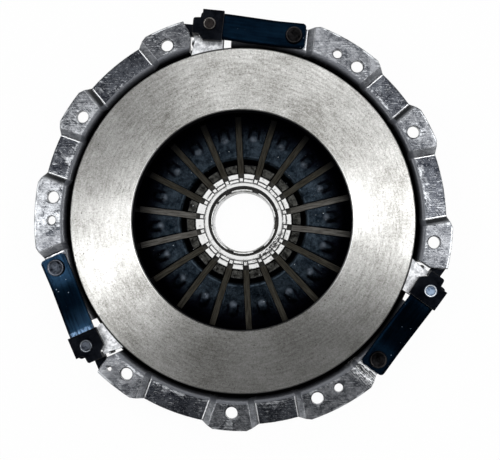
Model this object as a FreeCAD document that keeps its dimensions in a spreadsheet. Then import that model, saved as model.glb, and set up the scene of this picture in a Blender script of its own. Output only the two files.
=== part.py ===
"""Clutch pressure plate: a pull-type diaphragm spring cover assembly, friction side up.

The origin is on the axis, in the plane that bolts to the flywheel. +Z points to the flywheel.
Everything repeats three times round the axis. Lengths are in millimetres and angles in degrees.
"""

import FreeCAD, Part
import math
import os
import re

import Sketcher

document = FreeCAD.newDocument("clutch_pressure_plate")
node_bodies = []

pack_count = 3  # strap packs, lugs and brackets
leaf_count = 3  # leaves in a strap pack

sizes = {
    # Pressure plate
    "plate_outer_radius": 177.5,  # outer edge of the friction face
    "plate_width": 64.2,  # width of the friction face
    "friction_height": 3,  # friction face above the mounting plane, plate free
    "plate_thickness": 23,  # thickness of the ring
    "edge_bevel": 1,  # bevel at the edges of the friction face
    "back_bevel": 5,  # bevel at the back of the ring
    "fulcrum_width": 8,  # width of the ridge that bears on the spring
    "fulcrum_flat": 0.2,  # flat left between the two roundings of the ridge
    "fulcrum_rounding": 2,  # rounding at the foot of the ridge
    "fulcrum_gap_width": 22,  # gap between two stretches of the ridge
    "fulcrum_count": 9,  # stretches of the ridge
    "back_rib_width": 5,  # width of a rib on the back
    "back_rib_height": 6,  # height of a rib on the back
    "lug_seat_height": 1,  # strap seat on the lugs above the mounting plane
    "lug_thickness": 16,  # thickness of a lug
    "lug_trailing_side": 15,  # lug towards the cover rivet, from the lug rivet
    "lug_leading_side": 15.4,  # lug away from the cover rivet
    "lug_neck_side": 9.5,  # narrow end of the lug, away from the cover rivet
    "lug_step": 11.5,  # where the lug narrows, inwards from the rivet
    "lug_reach": 8,  # lug outwards from the rivet
    "lug_root": 42,  # depth of the lug's root in the ring, inwards from the rivet
    "lug_flare": 2.5,  # widening of the lug at its root
    "lug_flare_start": 22.5,  # where that widening starts, inwards from the rivet
    "lug_taper": 1,  # narrowing of the lug towards its outer end
    "lug_rounding": 4.5,  # rounded outer corners of the lug
    "nub_reach": 2.2,  # small cast nub beside the lug
    "nub_start": 21.5,  # inner end of the nub, inwards from the rivet
    "nub_end": 15,  # outer end of the nub, inwards from the rivet
    "nub_slant": 1.3,  # slant of the two ends of the nub
    "nub_drop": 3,  # top of the nub below the lug
    # Cover
    "cover_sheet": 5.5,  # thickness of the pressed cover
    "wall_gap": 5,  # room between the friction face and the wall of the cover
    "wall_draft": 2,  # how much the wall closes in towards the back
    "wall_straight": 14,  # depth of the straight upper part of the wall
    "fold_radius": 5.5,  # rounding from the flange into the wall
    "flange_width": 27.5,  # lower flange outwards from the inside of the wall
    "pad_height": 8,  # height of the bolt pads over the lower flange
    "pad_overhang": 5.5,  # how far the pads stand out past the lower flange
    "step_run": 6.5,  # sideways run of the slope beside a pad
    "pad_corner": 6,  # bevel at the outer corners of the pads
    "hollow_inset": 4,  # metal between the wall and the hollow under a pad
    "corner_drop": 8,  # height of the bevel between wall and shoulder
    "corner_rounding": 6,  # rounding inside that bevel
    "shoulder_inset": 13.5,  # shoulder for the pivot ring, inwards from the wall
    "shoulder_width": 14,  # width of that shoulder
    "cone_width": 38,  # width of the back of the cover inside the shoulder
    "cone_drop": 9,  # how far the rear opening lies behind the shoulder
    "wide_channel_angle": 9.9,  # centre line of the low channel between the third pad and the first
    "wide_channel_width": 65.5,  # floor of that channel, between its parallel sides
    "narrow_channel_angle": 40.4,  # centre line of the low channel between the first two pads
    "narrow_channel_width": 42.5,  # floor of that channel
    "pad_three_start_angle": 100,  # start of the third pad, inside the window
    # Holes of the flange
    "bolt_offset": 15,  # bolt and dowel holes outwards from the inside of the wall
    "bolt_hole_radius": 6.1,  # bolt hole
    "dowel_hole_radius": 4.4,  # dowel hole
    "bolt_one_angle": 27,  # bolt hole of the first pad
    "bolt_two_angle": 53,  # bolt hole of the second pad
    "bolt_three_angle": 113.2,  # bolt hole of the third pad
    "dowel_angle": 60,  # dowel hole of the second pad
    "drain_hole_radius": 2.6,  # single small hole in the flange
    "drain_inset": 5,  # that hole, inwards from the edge of the lower flange
    "drain_angle": 228.3,  # place of that hole
    # Straps and their rivets
    "strap_rivet_offset": 16.8,  # cover rivet outwards from the inside of the wall
    "strap_rivet_angle": 74.3,  # angle of the cover rivet
    "strap_turn_angle": 9.55,  # turn of the strap outwards from the tangent at that rivet
    "strap_length": 87,  # distance between the two rivets of a strap
    "strap_width": 26.7,  # width of a leaf
    "leaf_thickness": 1.2,  # thickness of a leaf
    "strap_cover_end": 12,  # leaf beyond the cover rivet
    "strap_lug_end": 10.5,  # leaf beyond the lug rivet
    "strap_corner": 4,  # bevelled corners of a leaf
    "strap_pad_room": 2.55,  # room between the end of a strap and the foot of the second pad
    "cover_bend": 19,  # first bend, from the cover rivet
    "lug_bend": 18.5,  # second bend, back from the lug rivet
    "rivet_radius": 5.5,  # shank of every rivet
    "rivet_clearance": 0.2,  # room round a rivet shank
    "cover_rivet_head_radius": 9,  # head of a cover rivet
    "cover_rivet_head": 3.4,  # height of that head
    "lug_rivet_end_radius": 6.7,  # upper end of a lug rivet
    "lug_rivet_end": 2,  # height of that end
    "lug_rivet_bevel": 0.8,  # bevel of that end
    "lug_rivet_head_radius": 9.5,  # lower head of a lug rivet
    "lug_rivet_head": 3.5,  # height of that head
    # Lift-stop brackets
    "bracket_sheet": 5.5,  # thickness of a bracket
    "bracket_strap_side": 13.8,  # bracket towards the cover rivet
    "bracket_inner_side": 17.2,  # bracket inwards from the rivet
    "bracket_skew": 1,  # slant of its inner side and of its outer end
    "bracket_bevel_start": 5.3,  # start of the inner bevel, away from the cover rivet
    "bracket_bevel_end": 10.6,  # end of the inner bevel
    "bracket_end_inner": 11,  # inner side of the end portion
    "bracket_end": 17.3,  # end of the bracket's upper part
    "bracket_end_outer": 5.2,  # outer side of the end portion
    "bracket_tab_side": 8.2,  # side of the outward tab
    "bracket_tab_reach": 14.8,  # reach of the outward tab
    "bracket_rounding": 2.4,  # rounding of the notch and the end
    "arm_end": 29.5,  # end of the lift-stop arm
    "arm_inner": 10.8,  # inner side of the arm
    "arm_outer": 1.5,  # outer side of the arm, outwards from the rivet
    "stop_gap": 0.3,  # room between arm and pad when the plate is free
    # Lug windows of the cover
    "window_room": 14.5,  # window below the lug rivets, for the travel of the plate
    "window_strap_side": 22.5,  # window towards the cover rivet
    "window_far_side": 19,  # window away from the cover rivet, at the wall
    "window_corner": 13,  # where the window widens, inwards from the rivet
    "window_shoulder": 5,  # where it is nearly at its full width, inwards from the rivet
    "window_outer_side": 27.5,  # window at the outer edge of the flange
    "window_flare": 4,  # slant between these two
    # Diaphragm spring
    "spring_sheet": 4,  # thickness of the spring
    "spring_inset": 11.5,  # outer edge of the spring inside that of the plate
    "spring_drop": 22,  # outer edge of the spring behind the back of the plate
    "spring_rise": 9,  # rise of the cone from its outer edge to the bend of the fingers
    "fulcrum_lever": 30,  # plate's ridge, inwards from the edge of the spring
    "pivot_inset": 3,  # cover's pivot ring, inwards from the edge of the spring
    "slot_end_inset": 11,  # round ends of the slots, inwards from the ridge
    "slot_width": 6.1,  # slot between two fingers
    "slot_eye_radius": 6,  # radius of the round end of a slot
    "finger_count": 18,  # fingers
    "finger_angle": 3,  # angle of the first finger
    "tip_inset": 4.5,  # finger tips outwards from the sleeve
    "tip_length": 15.5,  # flat tip of a finger
    "bend_run": 7,  # step of a finger, sideways
    "bend_drop": 8.3,  # step of a finger, downwards
    "bend_set_back": 1.8,  # how far out the back of each bend lies
    "rib_offset": 18.5,  # pressed rib of a finger, outwards from the bend
    "rib_length": 15,  # length of that rib
    "rib_slope": 4,  # slope at its two ends
    "rib_rise": 1,  # height of that rib
    "rib_angle": 6.5,  # angle that the rib covers
    "seat_gap": 0.3,  # room at each seat of the spring
    "pivot_wire": 5,  # thickness of the pivot ring's wire
    # Release ring
    "sleeve_bore_radius": 32,  # bore for the release bearing
    "sleeve_wall": 9.5,  # wall of the sleeve
    "sleeve_length": 25.5,  # length of the sleeve
    "sleeve_rise": 4.8,  # bright top face of the sleeve above the finger tips
    "sleeve_recess_width": 4.8,  # width of the recess for the snap ring
    "sleeve_recess": 4.2,  # depth of that recess
    "sleeve_bevel": 0.8,  # bevels of the sleeve
    "sleeve_clearance": 0.2,  # room of the rings on the sleeve
    "retainer_seat": 5.4,  # closed part of the tab retainer round the sleeve
    "retainer_tab": 4.4,  # length of the tabs on the fingers
    "retainer_sheet": 2.4,  # thickness of the tab retainer
    "retainer_slot": 6.6,  # gap between two tabs
    "inner_tab_seat": 2.7,  # closed part of the inner tab ring
    "inner_tab": 2.2,  # length of its tabs
    "inner_tab_sheet": 1.4,  # thickness of the inner tab ring
    "inner_tab_slot": 4.4,  # gap between two of its tabs
    "washer_inset": 1.2,  # inner edge of the wave washer, outwards from the bore
    "washer_sheet": 1,  # thickness of the wave washer
    "snap_inset": 2.2,  # centre line of the snap ring's wire, outwards from the bore
    "snap_wire": 2,  # thickness of the snap ring's wire
    "snap_gap_angle": 14,  # opening of the snap ring
    "rear_washer_overhang": 6,  # rear thrust washer past the finger tips
    "rear_washer_sheet": 3,  # thickness of the rear thrust washer
    "lock_ring_overhang": 3.5,  # rear lock ring past the sleeve
    "lock_ring_sheet": 2.4,  # thickness of the rear lock ring
    "lock_groove": 1.2,  # depth of its groove in the sleeve
    "cut_margin": 1,  # how far a cut runs past the face it starts from
}

# What follows from the sizes: every piece takes its place from the piece it seats on
derived = {
    "cut_reach": "2 * flange_width / 3",
    "plate_inner_radius": "plate_outer_radius - plate_width",
    "wall_inner_radius": "plate_outer_radius + wall_gap",
    "low_flange_radius": "wall_inner_radius + flange_width",
    "pad_outer_radius": "low_flange_radius + pad_overhang",
    "bolt_circle_radius": "wall_inner_radius + bolt_offset",
    "drain_circle_radius": "low_flange_radius - drain_inset",
    "strap_rivet_radius": "wall_inner_radius + strap_rivet_offset",
    "strap_side_foot": "strap_rivet_radius * sin(strap_turn_angle * 1deg) + strap_cover_end"
    " + strap_pad_room",
    "spring_outer_radius": "plate_outer_radius - spring_inset",
    "spring_edge_depth": "plate_thickness - friction_height + spring_drop",
    "spring_peak_depth": "spring_edge_depth - spring_rise",
    "fulcrum_radius": "spring_outer_radius - fulcrum_lever",
    "pivot_radius": "spring_outer_radius - pivot_inset",
    "slot_end_radius": "fulcrum_radius - slot_end_inset",
    "sleeve_outer_radius": "sleeve_bore_radius + sleeve_wall",
    "tip_radius": "sleeve_outer_radius + tip_inset",
    "foot_radius": "tip_radius + tip_length",
    "bend_radius": "foot_radius + bend_run",
    "tip_depth": "spring_peak_depth + bend_drop",
    "rib_inner_radius": "bend_radius + rib_offset",
    "rib_outer_radius": "rib_inner_radius + rib_length",
    "cone_slope": "spring_rise / (spring_outer_radius - bend_radius)",
    "fulcrum_depth": "spring_edge_depth - fulcrum_lever * cone_slope - seat_gap",
    "pivot_centre_depth": "spring_edge_depth - pivot_inset * cone_slope + spring_sheet + seat_gap"
    " + pivot_wire / 2",
    "shoulder_depth": "pivot_centre_depth + pivot_wire / 2",
    "shoulder_outer_radius": "wall_inner_radius - shoulder_inset",
    "shoulder_inner_radius": "shoulder_outer_radius - shoulder_width",
    "rear_opening_radius": "shoulder_inner_radius - cone_width",
    "rear_depth": "shoulder_depth + cone_drop",
    "sleeve_top_depth": "tip_depth - sleeve_rise",
    "sleeve_bottom_depth": "sleeve_top_depth + sleeve_length",
    "sleeve_recess_radius": "sleeve_bore_radius + sleeve_recess_width",
    "retainer_root_radius": "sleeve_outer_radius + retainer_seat",
    "retainer_radius": "retainer_root_radius + retainer_tab",
    "inner_tab_root_radius": "sleeve_outer_radius + inner_tab_seat",
    "inner_tab_radius": "inner_tab_root_radius + inner_tab",
    "washer_inner_radius": "sleeve_bore_radius + washer_inset",
    "snap_radius": "sleeve_bore_radius + snap_inset",
    "rear_washer_radius": "tip_radius + rear_washer_overhang",
    "lock_ring_radius": "sleeve_outer_radius + lock_ring_overhang",
    "window_depth": "lug_thickness - lug_seat_height + lug_rivet_head + window_room",
    "low_level": "-pad_height",
    "low_back": "-pad_height - cover_sheet",
    "flange_through": "pad_height + cover_sheet + 2 * cut_margin",
    "friction_back": "friction_height - plate_thickness",
    "lug_bottom": "lug_seat_height - lug_thickness",
    "leaf_stack": f"{leaf_count} * leaf_thickness",
    "bracket_seat": "lug_seat_height + leaf_stack",
    "tip_top": "-tip_depth + seat_gap",
    "rear_washer_top": "-tip_depth - spring_sheet - seat_gap",
    "lock_ring_top": "rear_washer_top - rear_washer_sheet",
    "slope_shift": "cover_sheet * sqrt(pad_height ^ 2 + step_run ^ 2) / pad_height",
    "foot_spread": "step_run * (pad_height + cover_sheet) / pad_height",
    "strap_heading": "(strap_rivet_angle + 90 + strap_turn_angle) * 1deg",
    "lug_x": "strap_rivet_radius * cos(strap_rivet_angle * 1deg) + strap_length * cos(strap_heading)",
    "lug_y": "strap_rivet_radius * sin(strap_rivet_angle * 1deg) + strap_length * sin(strap_heading)",
}

sheet = document.addObject("Spreadsheet::Sheet", "Sizes")
for row, (name, number) in enumerate(sizes.items(), 1):
    sheet.set(f"A{row}", name)
    sheet.set(f"B{row}", str(number))
    sheet.setAlias(f"B{row}", name)
document.recompute()

def linked(formula):
    """The formula with derived values written out and every size name pointing at its cell."""

    def written_out(word):
        if word[0] in derived:
            return f"({linked(derived[word[0]])})"
        return "Sizes." + word[0] if word[0] in sizes else word[0]

    return re.sub(r"[a-z][a-z_0-9]*", written_out, formula)


def value(formula):
    return float(sheet.evalExpression(linked(formula)))


def drive(thing, path, formula):
    """Binds a property of an object to a formula of the sizes."""
    thing.setExpression(path, linked(formula))


def polar(radius, angle, aside="0"):
    """A point at a radius and an angle, moved aside counter-clockwise at right angles to the radius."""
    along = f"({radius}) * cos(({angle}) * 1deg) - ({aside}) * sin(({angle}) * 1deg)"
    across = f"({radius}) * sin(({angle}) * 1deg) + ({aside}) * cos(({angle}) * 1deg)"
    return along, across


def by_lug(ahead, outwards):
    """A point given from the lug rivet: ahead along the strap, and outwards from the axis."""
    along = f"lug_x + ({ahead}) * cos(strap_heading) + ({outwards}) * sin(strap_heading)"
    across = f"lug_y + ({ahead}) * sin(strap_heading) - ({outwards}) * cos(strap_heading)"
    return along, across


def new_body(name):
    body = document.addObject("PartDesign::Body", name)
    body.Label = name
    node_bodies.append(body)
    return body


def new_sketch(body, name, role="XY_Plane", level=None):
    """An empty sketch on an origin plane of the body, moved along the plane's normal to a level."""
    sketch = body.newObject("Sketcher::SketchObject", f"{body.Label}_{name}")
    plane = [feature for feature in body.Origin.OriginFeatures if feature.Role == role][0]
    sketch.AttachmentSupport = [(plane, "")]
    sketch.MapMode = "FlatFace"
    if level:
        drive(sketch, "AttachmentOffset.Base.z", level)
    return sketch


def place_point(sketch, geometry, position, x, y):
    """Fixes one point of a sketch at two formulas."""
    for kind, formula in (("DistanceX", x), ("DistanceY", y)):
        constraint = Sketcher.Constraint(kind, -1, 1, geometry, position, value(formula))
        index = sketch.addConstraint(constraint)
        drive(sketch, f"Constraints[{index}]", formula)


def set_radius(sketch, geometry, formula):
    index = sketch.addConstraint(Sketcher.Constraint("Radius", geometry, value(formula)))
    drive(sketch, f"Constraints[{index}]", formula)


def add_circle(sketch, centre, radius):
    middle = FreeCAD.Vector(value(centre[0]), value(centre[1]), 0)
    circle = Part.Circle(middle, FreeCAD.Vector(0, 0, 1), value(radius))
    index = sketch.addGeometry(circle, False)
    place_point(sketch, index, 3, *centre)
    set_radius(sketch, index, radius)


def add_outline(sketch, corners):
    """A closed outline. A corner is (x, y), or (x, y, radius) where it is rounded."""
    count = len(corners)
    points = [FreeCAD.Vector(value(corner[0]), value(corner[1]), 0) for corner in corners]
    arrive = list(points)
    leave = list(points)
    arcs = {}
    for index, corner in enumerate(corners):
        if len(corner) < 3:
            continue
        radius = value(corner[2])
        back = (points[index - 1] - points[index]).normalize()
        forward = (points[(index + 1) % count] - points[index]).normalize()
        half = back.getAngle(forward) / 2
        arrive[index] = points[index] + back * (radius / math.tan(half))
        leave[index] = points[index] + forward * (radius / math.tan(half))
        centre = points[index] + (back + forward).normalize() * (radius / math.sin(half))
        arcs[index] = (centre, radius)
    lines = []
    for index in range(count):
        segment = Part.LineSegment(leave[index], arrive[(index + 1) % count])
        lines.append(sketch.addGeometry(segment, False))
    for index, corner in enumerate(corners):
        before = lines[index - 1]
        after = lines[index]
        if index not in arcs:
            sketch.addConstraint(Sketcher.Constraint("Coincident", before, 2, after, 1))
            place_point(sketch, after, 1, corner[0], corner[1])
            continue
        centre, radius = arcs[index]
        first = arrive[index] - centre
        last = leave[index] - centre
        counter_clockwise = first.x * last.y - first.y * last.x > 0
        ends = (first, last) if counter_clockwise else (last, first)
        circle = Part.Circle(centre, FreeCAD.Vector(0, 0, 1), radius)
        angles = [math.atan2(end.y, end.x) for end in ends]
        arc = sketch.addGeometry(Part.ArcOfCircle(circle, angles[0], angles[1]), False)
        start, finish = (1, 2) if counter_clockwise else (2, 1)
        corner_point = sketch.addGeometry(Part.Point(points[index]), True)
        place_point(sketch, corner_point, 1, corner[0], corner[1])
        sketch.addConstraint(Sketcher.Constraint("PointOnObject", corner_point, 1, before))
        sketch.addConstraint(Sketcher.Constraint("PointOnObject", corner_point, 1, after))
        sketch.addConstraint(Sketcher.Constraint("Tangent", before, 2, arc, start))
        sketch.addConstraint(Sketcher.Constraint("Tangent", arc, finish, after, 1))
        set_radius(sketch, arc, corner[2])


def outline_sketch(body, name, *outlines, role="XY_Plane", level=None):
    sketch = new_sketch(body, name, role, level)
    for corners in outlines:
        add_outline(sketch, corners)
    return sketch


def circle_sketch(body, name, *circles, level=None):
    sketch = new_sketch(body, name, level=level)
    for centre, radius in circles:
        add_circle(sketch, centre, radius)
    return sketch


def pad(body, name, sketch, length, both_ways=False):
    feature = body.newObject("PartDesign::Pad", f"{body.Label}_{name}")
    feature.Profile = sketch
    drive(feature, "Length", length)
    if both_ways:
        feature.SideType = "Symmetric"
    return feature


def pocket(body, name, sketch, depth):
    """Cuts down from the sketch by a depth."""
    feature = body.newObject("PartDesign::Pocket", f"{body.Label}_{name}")
    feature.Profile = sketch
    drive(feature, "Length", depth)
    return feature


def revolve(body, name, corners, kind="PartDesign::Revolution"):
    """Turns a profile of (radius, height) corners round the axis, as solid or as cut."""
    sketch = outline_sketch(body, f"{name}_profile", corners, role="XZ_Plane")
    feature = body.newObject(kind, f"{body.Label}_{name}")
    feature.Profile = sketch
    feature.ReferenceAxis = (sketch, ["V_Axis"])
    feature.Angle = 360
    return feature


def loft(body, name, lower, upper, kind):
    feature = body.newObject(kind, f"{body.Label}_{name}")
    feature.Profile = lower
    feature.Sections = [upper]
    feature.Ruled = True
    return feature


def repeat(body, name, features, count):
    """Repeats features round the axis of the body."""
    pattern = body.newObject("PartDesign::PolarPattern", f"{body.Label}_{name}")
    pattern.Originals = features
    axis = [feature for feature in body.Origin.OriginFeatures if feature.Role == "Z_Axis"][0]
    pattern.Axis = (axis, [""])
    pattern.Angle = 360
    drive(pattern, "Occurrences", count)
    body.Tip = pattern
    return pattern


def ring_corners(inner, outer, bottom, top):
    """A rectangular section of a ring."""
    return [(inner, bottom), (outer, bottom), (outer, top), (inner, top)]


def turn_body(body, angle):
    """Stands the body at an angle round the axis."""
    body.Placement = FreeCAD.Placement(
        FreeCAD.Vector(0, 0, 0), FreeCAD.Rotation(FreeCAD.Vector(0, 0, 1), value(angle))
    )
    drive(body, "Placement.Rotation.Angle", f"({angle}) * 1deg")


def place_on_strap(body, pack, distance):
    """Stands the body on the centre line of a strap, with X along the strap and Y inwards."""
    turn = f"{360 // pack_count * pack}"
    start = polar("strap_rivet_radius", f"strap_rivet_angle + {turn}")
    heading = f"((strap_rivet_angle + 90 + strap_turn_angle + {turn}) * 1deg)"
    x = f"{start[0]} + ({distance}) * cos{heading}"
    y = f"{start[1]} + ({distance}) * sin{heading}"
    body.Placement = FreeCAD.Placement(
        FreeCAD.Vector(value(x), value(y), 0),
        FreeCAD.Rotation(FreeCAD.Vector(0, 0, 1), math.degrees(value(f"{heading} / 1rad"))),
    )
    drive(body, "Placement.Base.x", f"({x}) * 1mm")
    drive(body, "Placement.Base.y", f"({y}) * 1mm")
    drive(body, "Placement.Rotation.Angle", heading)


def on_side(side, radius, spread):
    """A point on a side of a pad at a radius, spread sideways from the edge of the pad's top.

    The side is parallel to the radius at its angle. Its foot lies at a distance from that radius,
    on the counter-clockwise side of it for 1 and on the other side for -1.
    """
    angle, foot, direction = side
    aside = f"({direction} * ({foot} + step_run - ({spread})))"
    return polar(f"sqrt(({radius}) ^ 2 - {aside} ^ 2)", angle, aside)


def pad_plan(start, end, spread, inner, outer):
    """Plan of a bolt pad between its two sides."""
    return [
        on_side(start, inner, spread),
        on_side(start, outer, spread),
        on_side(end, outer, spread),
        on_side(end, inner, spread),
    ]


def corner_bevel(side):
    """Plan of the cut at an outer corner of a pad."""
    foot = "step_run + cut_margin"
    far = f"step_run + {side[1]} / 2"
    return [
        on_side(side, "low_flange_radius", foot),
        on_side(side, "low_flange_radius + cut_margin", far),
        on_side(side, "pad_outer_radius + cut_reach", far),
        on_side(side, "pad_outer_radius + cut_reach", "-pad_corner"),
        on_side(side, "pad_outer_radius", "-pad_corner"),
    ]


def make_cover():
    body = new_body("cover")
    wall_foot = "(wall_inner_radius - wall_draft)"
    bevel_depth = "(shoulder_depth - corner_drop)"
    revolve(body, "bowl", [
        ("low_flange_radius", "low_level"),
        ("wall_inner_radius", "low_level", "fold_radius"),
        ("wall_inner_radius", "-wall_straight - cover_sheet"),
        (wall_foot, f"-{bevel_depth}", "corner_rounding"),
        ("shoulder_outer_radius", "-shoulder_depth"),
        ("shoulder_inner_radius", "-shoulder_depth"),
        ("rear_opening_radius", "-rear_depth"),
        ("rear_opening_radius", "-rear_depth - cover_sheet"),
        ("shoulder_inner_radius", "-shoulder_depth - cover_sheet"),
        ("shoulder_outer_radius + cover_sheet / 2", "-shoulder_depth - cover_sheet", "corner_rounding"),
        (f"{wall_foot} + cover_sheet", f"-{bevel_depth} - cover_sheet / 2", "corner_rounding"),
        ("wall_inner_radius + cover_sheet", "-wall_straight - cover_sheet"),
        ("wall_inner_radius + cover_sheet", "low_back"),
        ("low_flange_radius", "low_back"),
    ])
    pad_one = [
        ("wide_channel_angle", "wide_channel_width / 2", 1),
        ("narrow_channel_angle", "narrow_channel_width / 2", -1),
    ]
    pad_two = [
        ("narrow_channel_angle", "narrow_channel_width / 2", 1),
        ("strap_rivet_angle + strap_turn_angle", "strap_side_foot", -1),
    ]
    pad_three = [
        ("pad_three_start_angle", "(-step_run)", 1),
        (f"wide_channel_angle + {360 // pack_count}", "wide_channel_width / 2", -1),
    ]
    pads = [("pad_one", *pad_one), ("pad_two", *pad_two), ("pad_three", *pad_three)]
    inside = "wall_inner_radius - cut_reach"
    outside = "pad_outer_radius + cut_reach"
    raised = []
    for name, start, end in pads:
        wide = pad_plan(start, end, "foot_spread", inside, outside)
        narrow = pad_plan(start, end, "0", inside, outside)
        lower = outline_sketch(body, f"{name}_foot", wide, level="low_back")
        upper = outline_sketch(body, f"{name}_top", narrow)
        raised.append(loft(body, name, lower, upper, "PartDesign::AdditiveLoft"))
    repeat(body, "pads", raised, f"{pack_count}")
    revolve(body, "inside_trim", ring_corners(
        "wall_inner_radius - 2 * cut_reach", "wall_inner_radius", "low_back - cut_margin", "cut_margin"
    ), "PartDesign::Groove")
    revolve(body, "outside_trim", ring_corners(
        "pad_outer_radius", "pad_outer_radius + 3 * cut_reach", "low_back - cut_margin", "cut_margin"
    ), "PartDesign::Groove")
    revolve(body, "pad_fold", [
        ("wall_inner_radius - cut_margin", "-fold_radius - cut_margin"),
        ("wall_inner_radius", "-fold_radius - cut_margin"),
        ("wall_inner_radius", "0", "fold_radius"),
        ("wall_inner_radius + fold_radius + cut_margin", "0"),
        ("wall_inner_radius + fold_radius + cut_margin", "cut_margin"),
        ("wall_inner_radius - cut_margin", "cut_margin"),
    ], "PartDesign::Groove")
    hollow_inside = "wall_inner_radius + cover_sheet + hollow_inset"
    hollows = []
    for name, start, end in pads:
        wide = pad_plan(start, end, "foot_spread - slope_shift", hollow_inside, outside)
        narrow = pad_plan(start, end, "foot_spread - step_run - slope_shift", hollow_inside, outside)
        lower = outline_sketch(body, f"{name}_hollow_foot", wide, level="low_back")
        upper = outline_sketch(body, f"{name}_hollow_top", narrow, level="-cover_sheet")
        hollows.append(loft(body, f"{name}_hollow", lower, upper, "PartDesign::SubtractiveLoft"))
    repeat(body, "hollows", hollows, f"{pack_count}")
    window = outline_sketch(body, "window_plan", [
        by_lug("-window_strap_side", "-lug_root"),
        by_lug("window_far_side", "-lug_root"),
        by_lug("window_far_side", "-window_corner"),
        by_lug("window_outer_side - window_flare", "-window_shoulder"),
        by_lug("window_outer_side", "0"),
        by_lug("window_outer_side + cut_reach", "2 * cut_reach"),
        by_lug("-window_strap_side", "2 * cut_reach"),
    ], level="cut_margin")
    opening = pocket(body, "window", window, "window_depth + cut_margin")
    repeat(body, "windows", [opening], f"{pack_count}")
    bevels = outline_sketch(
        body,
        "bevel_plan",
        *[corner_bevel(side) for side in pad_one + pad_two + pad_three[1:]],
        level="cut_margin",
    )
    bevel_cut = pocket(body, "pad_bevels", bevels, "flange_through")
    holes = circle_sketch(
        body,
        "hole_plan",
        (polar("bolt_circle_radius", "bolt_one_angle"), "bolt_hole_radius"),
        (polar("bolt_circle_radius", "bolt_two_angle"), "bolt_hole_radius"),
        (polar("bolt_circle_radius", "bolt_three_angle"), "bolt_hole_radius"),
        (polar("bolt_circle_radius", "dowel_angle"), "dowel_hole_radius"),
        (polar("strap_rivet_radius", "strap_rivet_angle"), "rivet_radius + rivet_clearance"),
        level="cut_margin",
    )
    hole_cut = pocket(body, "holes", holes, "flange_through")
    repeat(body, "bevels_and_holes", [bevel_cut, hole_cut], f"{pack_count}")
    drain = circle_sketch(
        body, "drain_plan", (polar("drain_circle_radius", "drain_angle"), "drain_hole_radius"), level="cut_margin"
    )
    pocket(body, "drain", drain, "flange_through")


def make_pressure_plate():
    body = new_body("pressure_plate")
    ridge_inner = "(fulcrum_radius - fulcrum_width / 2)"
    ridge_outer = "(fulcrum_radius + fulcrum_width / 2)"
    ridge_tip = "(fulcrum_width - fulcrum_flat) / 2"
    revolve(body, "ring", [
        ("plate_inner_radius", "friction_height - edge_bevel"),
        ("plate_inner_radius + edge_bevel", "friction_height"),
        ("plate_outer_radius - edge_bevel", "friction_height"),
        ("plate_outer_radius", "friction_height - edge_bevel"),
        ("plate_outer_radius", "friction_back + back_bevel"),
        ("plate_outer_radius - back_bevel", "friction_back"),
        (ridge_outer, "friction_back", "fulcrum_rounding"),
        (ridge_outer, "-fulcrum_depth", ridge_tip),
        (ridge_inner, "-fulcrum_depth", ridge_tip),
        (ridge_inner, "friction_back", "fulcrum_rounding"),
        ("plate_inner_radius + back_bevel", "friction_back"),
        ("plate_inner_radius", "friction_back + back_bevel"),
    ])
    gap_inner = f"{ridge_inner} - fulcrum_rounding - cut_margin"
    gap_outer = f"{ridge_outer} + fulcrum_rounding + cut_margin"
    gap_plan = outline_sketch(body, "gap_plan", [
        (gap_inner, "-fulcrum_gap_width / 2"),
        (gap_outer, "-fulcrum_gap_width / 2"),
        (gap_outer, "fulcrum_gap_width / 2"),
        (gap_inner, "fulcrum_gap_width / 2"),
    ], level="friction_back")
    gap = pocket(body, "ridge_gap", gap_plan, "fulcrum_depth + friction_back + cut_margin")
    repeat(body, "ridge_gaps", [gap], "fulcrum_count")
    rib_angle = "180 / fulcrum_count"
    rib_outer = "plate_outer_radius - back_bevel - cut_margin"
    rib_plan = outline_sketch(body, "rib_plan", [
        polar("fulcrum_radius", rib_angle, "-back_rib_width / 2"),
        polar(rib_outer, rib_angle, "-back_rib_width / 2"),
        polar(rib_outer, rib_angle, "back_rib_width / 2"),
        polar("fulcrum_radius", rib_angle, "back_rib_width / 2"),
    ], level="friction_back - back_rib_height")
    rib = pad(body, "rib", rib_plan, "back_rib_height + cut_margin")
    repeat(body, "ribs", [rib], "fulcrum_count")
    lug_plan = outline_sketch(body, "lug_plan", [
        by_lug("-lug_trailing_side - lug_flare", "-lug_root"),
        by_lug("lug_leading_side + lug_flare", "-lug_root"),
        by_lug("lug_leading_side", "-lug_flare_start"),
        by_lug("lug_leading_side", "-lug_step"),
        by_lug("lug_neck_side", "-lug_step"),
        by_lug("lug_neck_side", "lug_reach") + ("lug_rounding",),
        by_lug("-lug_trailing_side + lug_taper", "lug_reach") + ("lug_rounding",),
        by_lug("-lug_trailing_side", "-lug_flare_start"),
    ], level="lug_bottom")
    lug = pad(body, "lug", lug_plan, "lug_thickness")
    nub_plan = outline_sketch(body, "nub_plan", [
        by_lug("lug_leading_side - lug_flare", "-nub_start"),
        by_lug("lug_leading_side + nub_reach", "-nub_start + nub_slant"),
        by_lug("lug_leading_side + nub_reach", "-nub_end - nub_slant"),
        by_lug("lug_leading_side - lug_flare", "-nub_end"),
    ], level="lug_bottom")
    nub = pad(body, "nub", nub_plan, "lug_thickness - nub_drop")
    lug_hole = circle_sketch(
        body,
        "lug_hole_plan",
        (("lug_x", "lug_y"), "rivet_radius + rivet_clearance"),
        level="lug_seat_height + cut_margin",
    )
    hole = pocket(body, "lug_hole", lug_hole, "lug_thickness + 2 * cut_margin")
    repeat(body, "lugs", [lug, nub, hole], f"{pack_count}")


def cone_level(radius):
    """Height of the spring's upper face at a radius outside the bend."""
    return f"(-spring_peak_depth - ({radius} - bend_radius) * cone_slope)"


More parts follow.
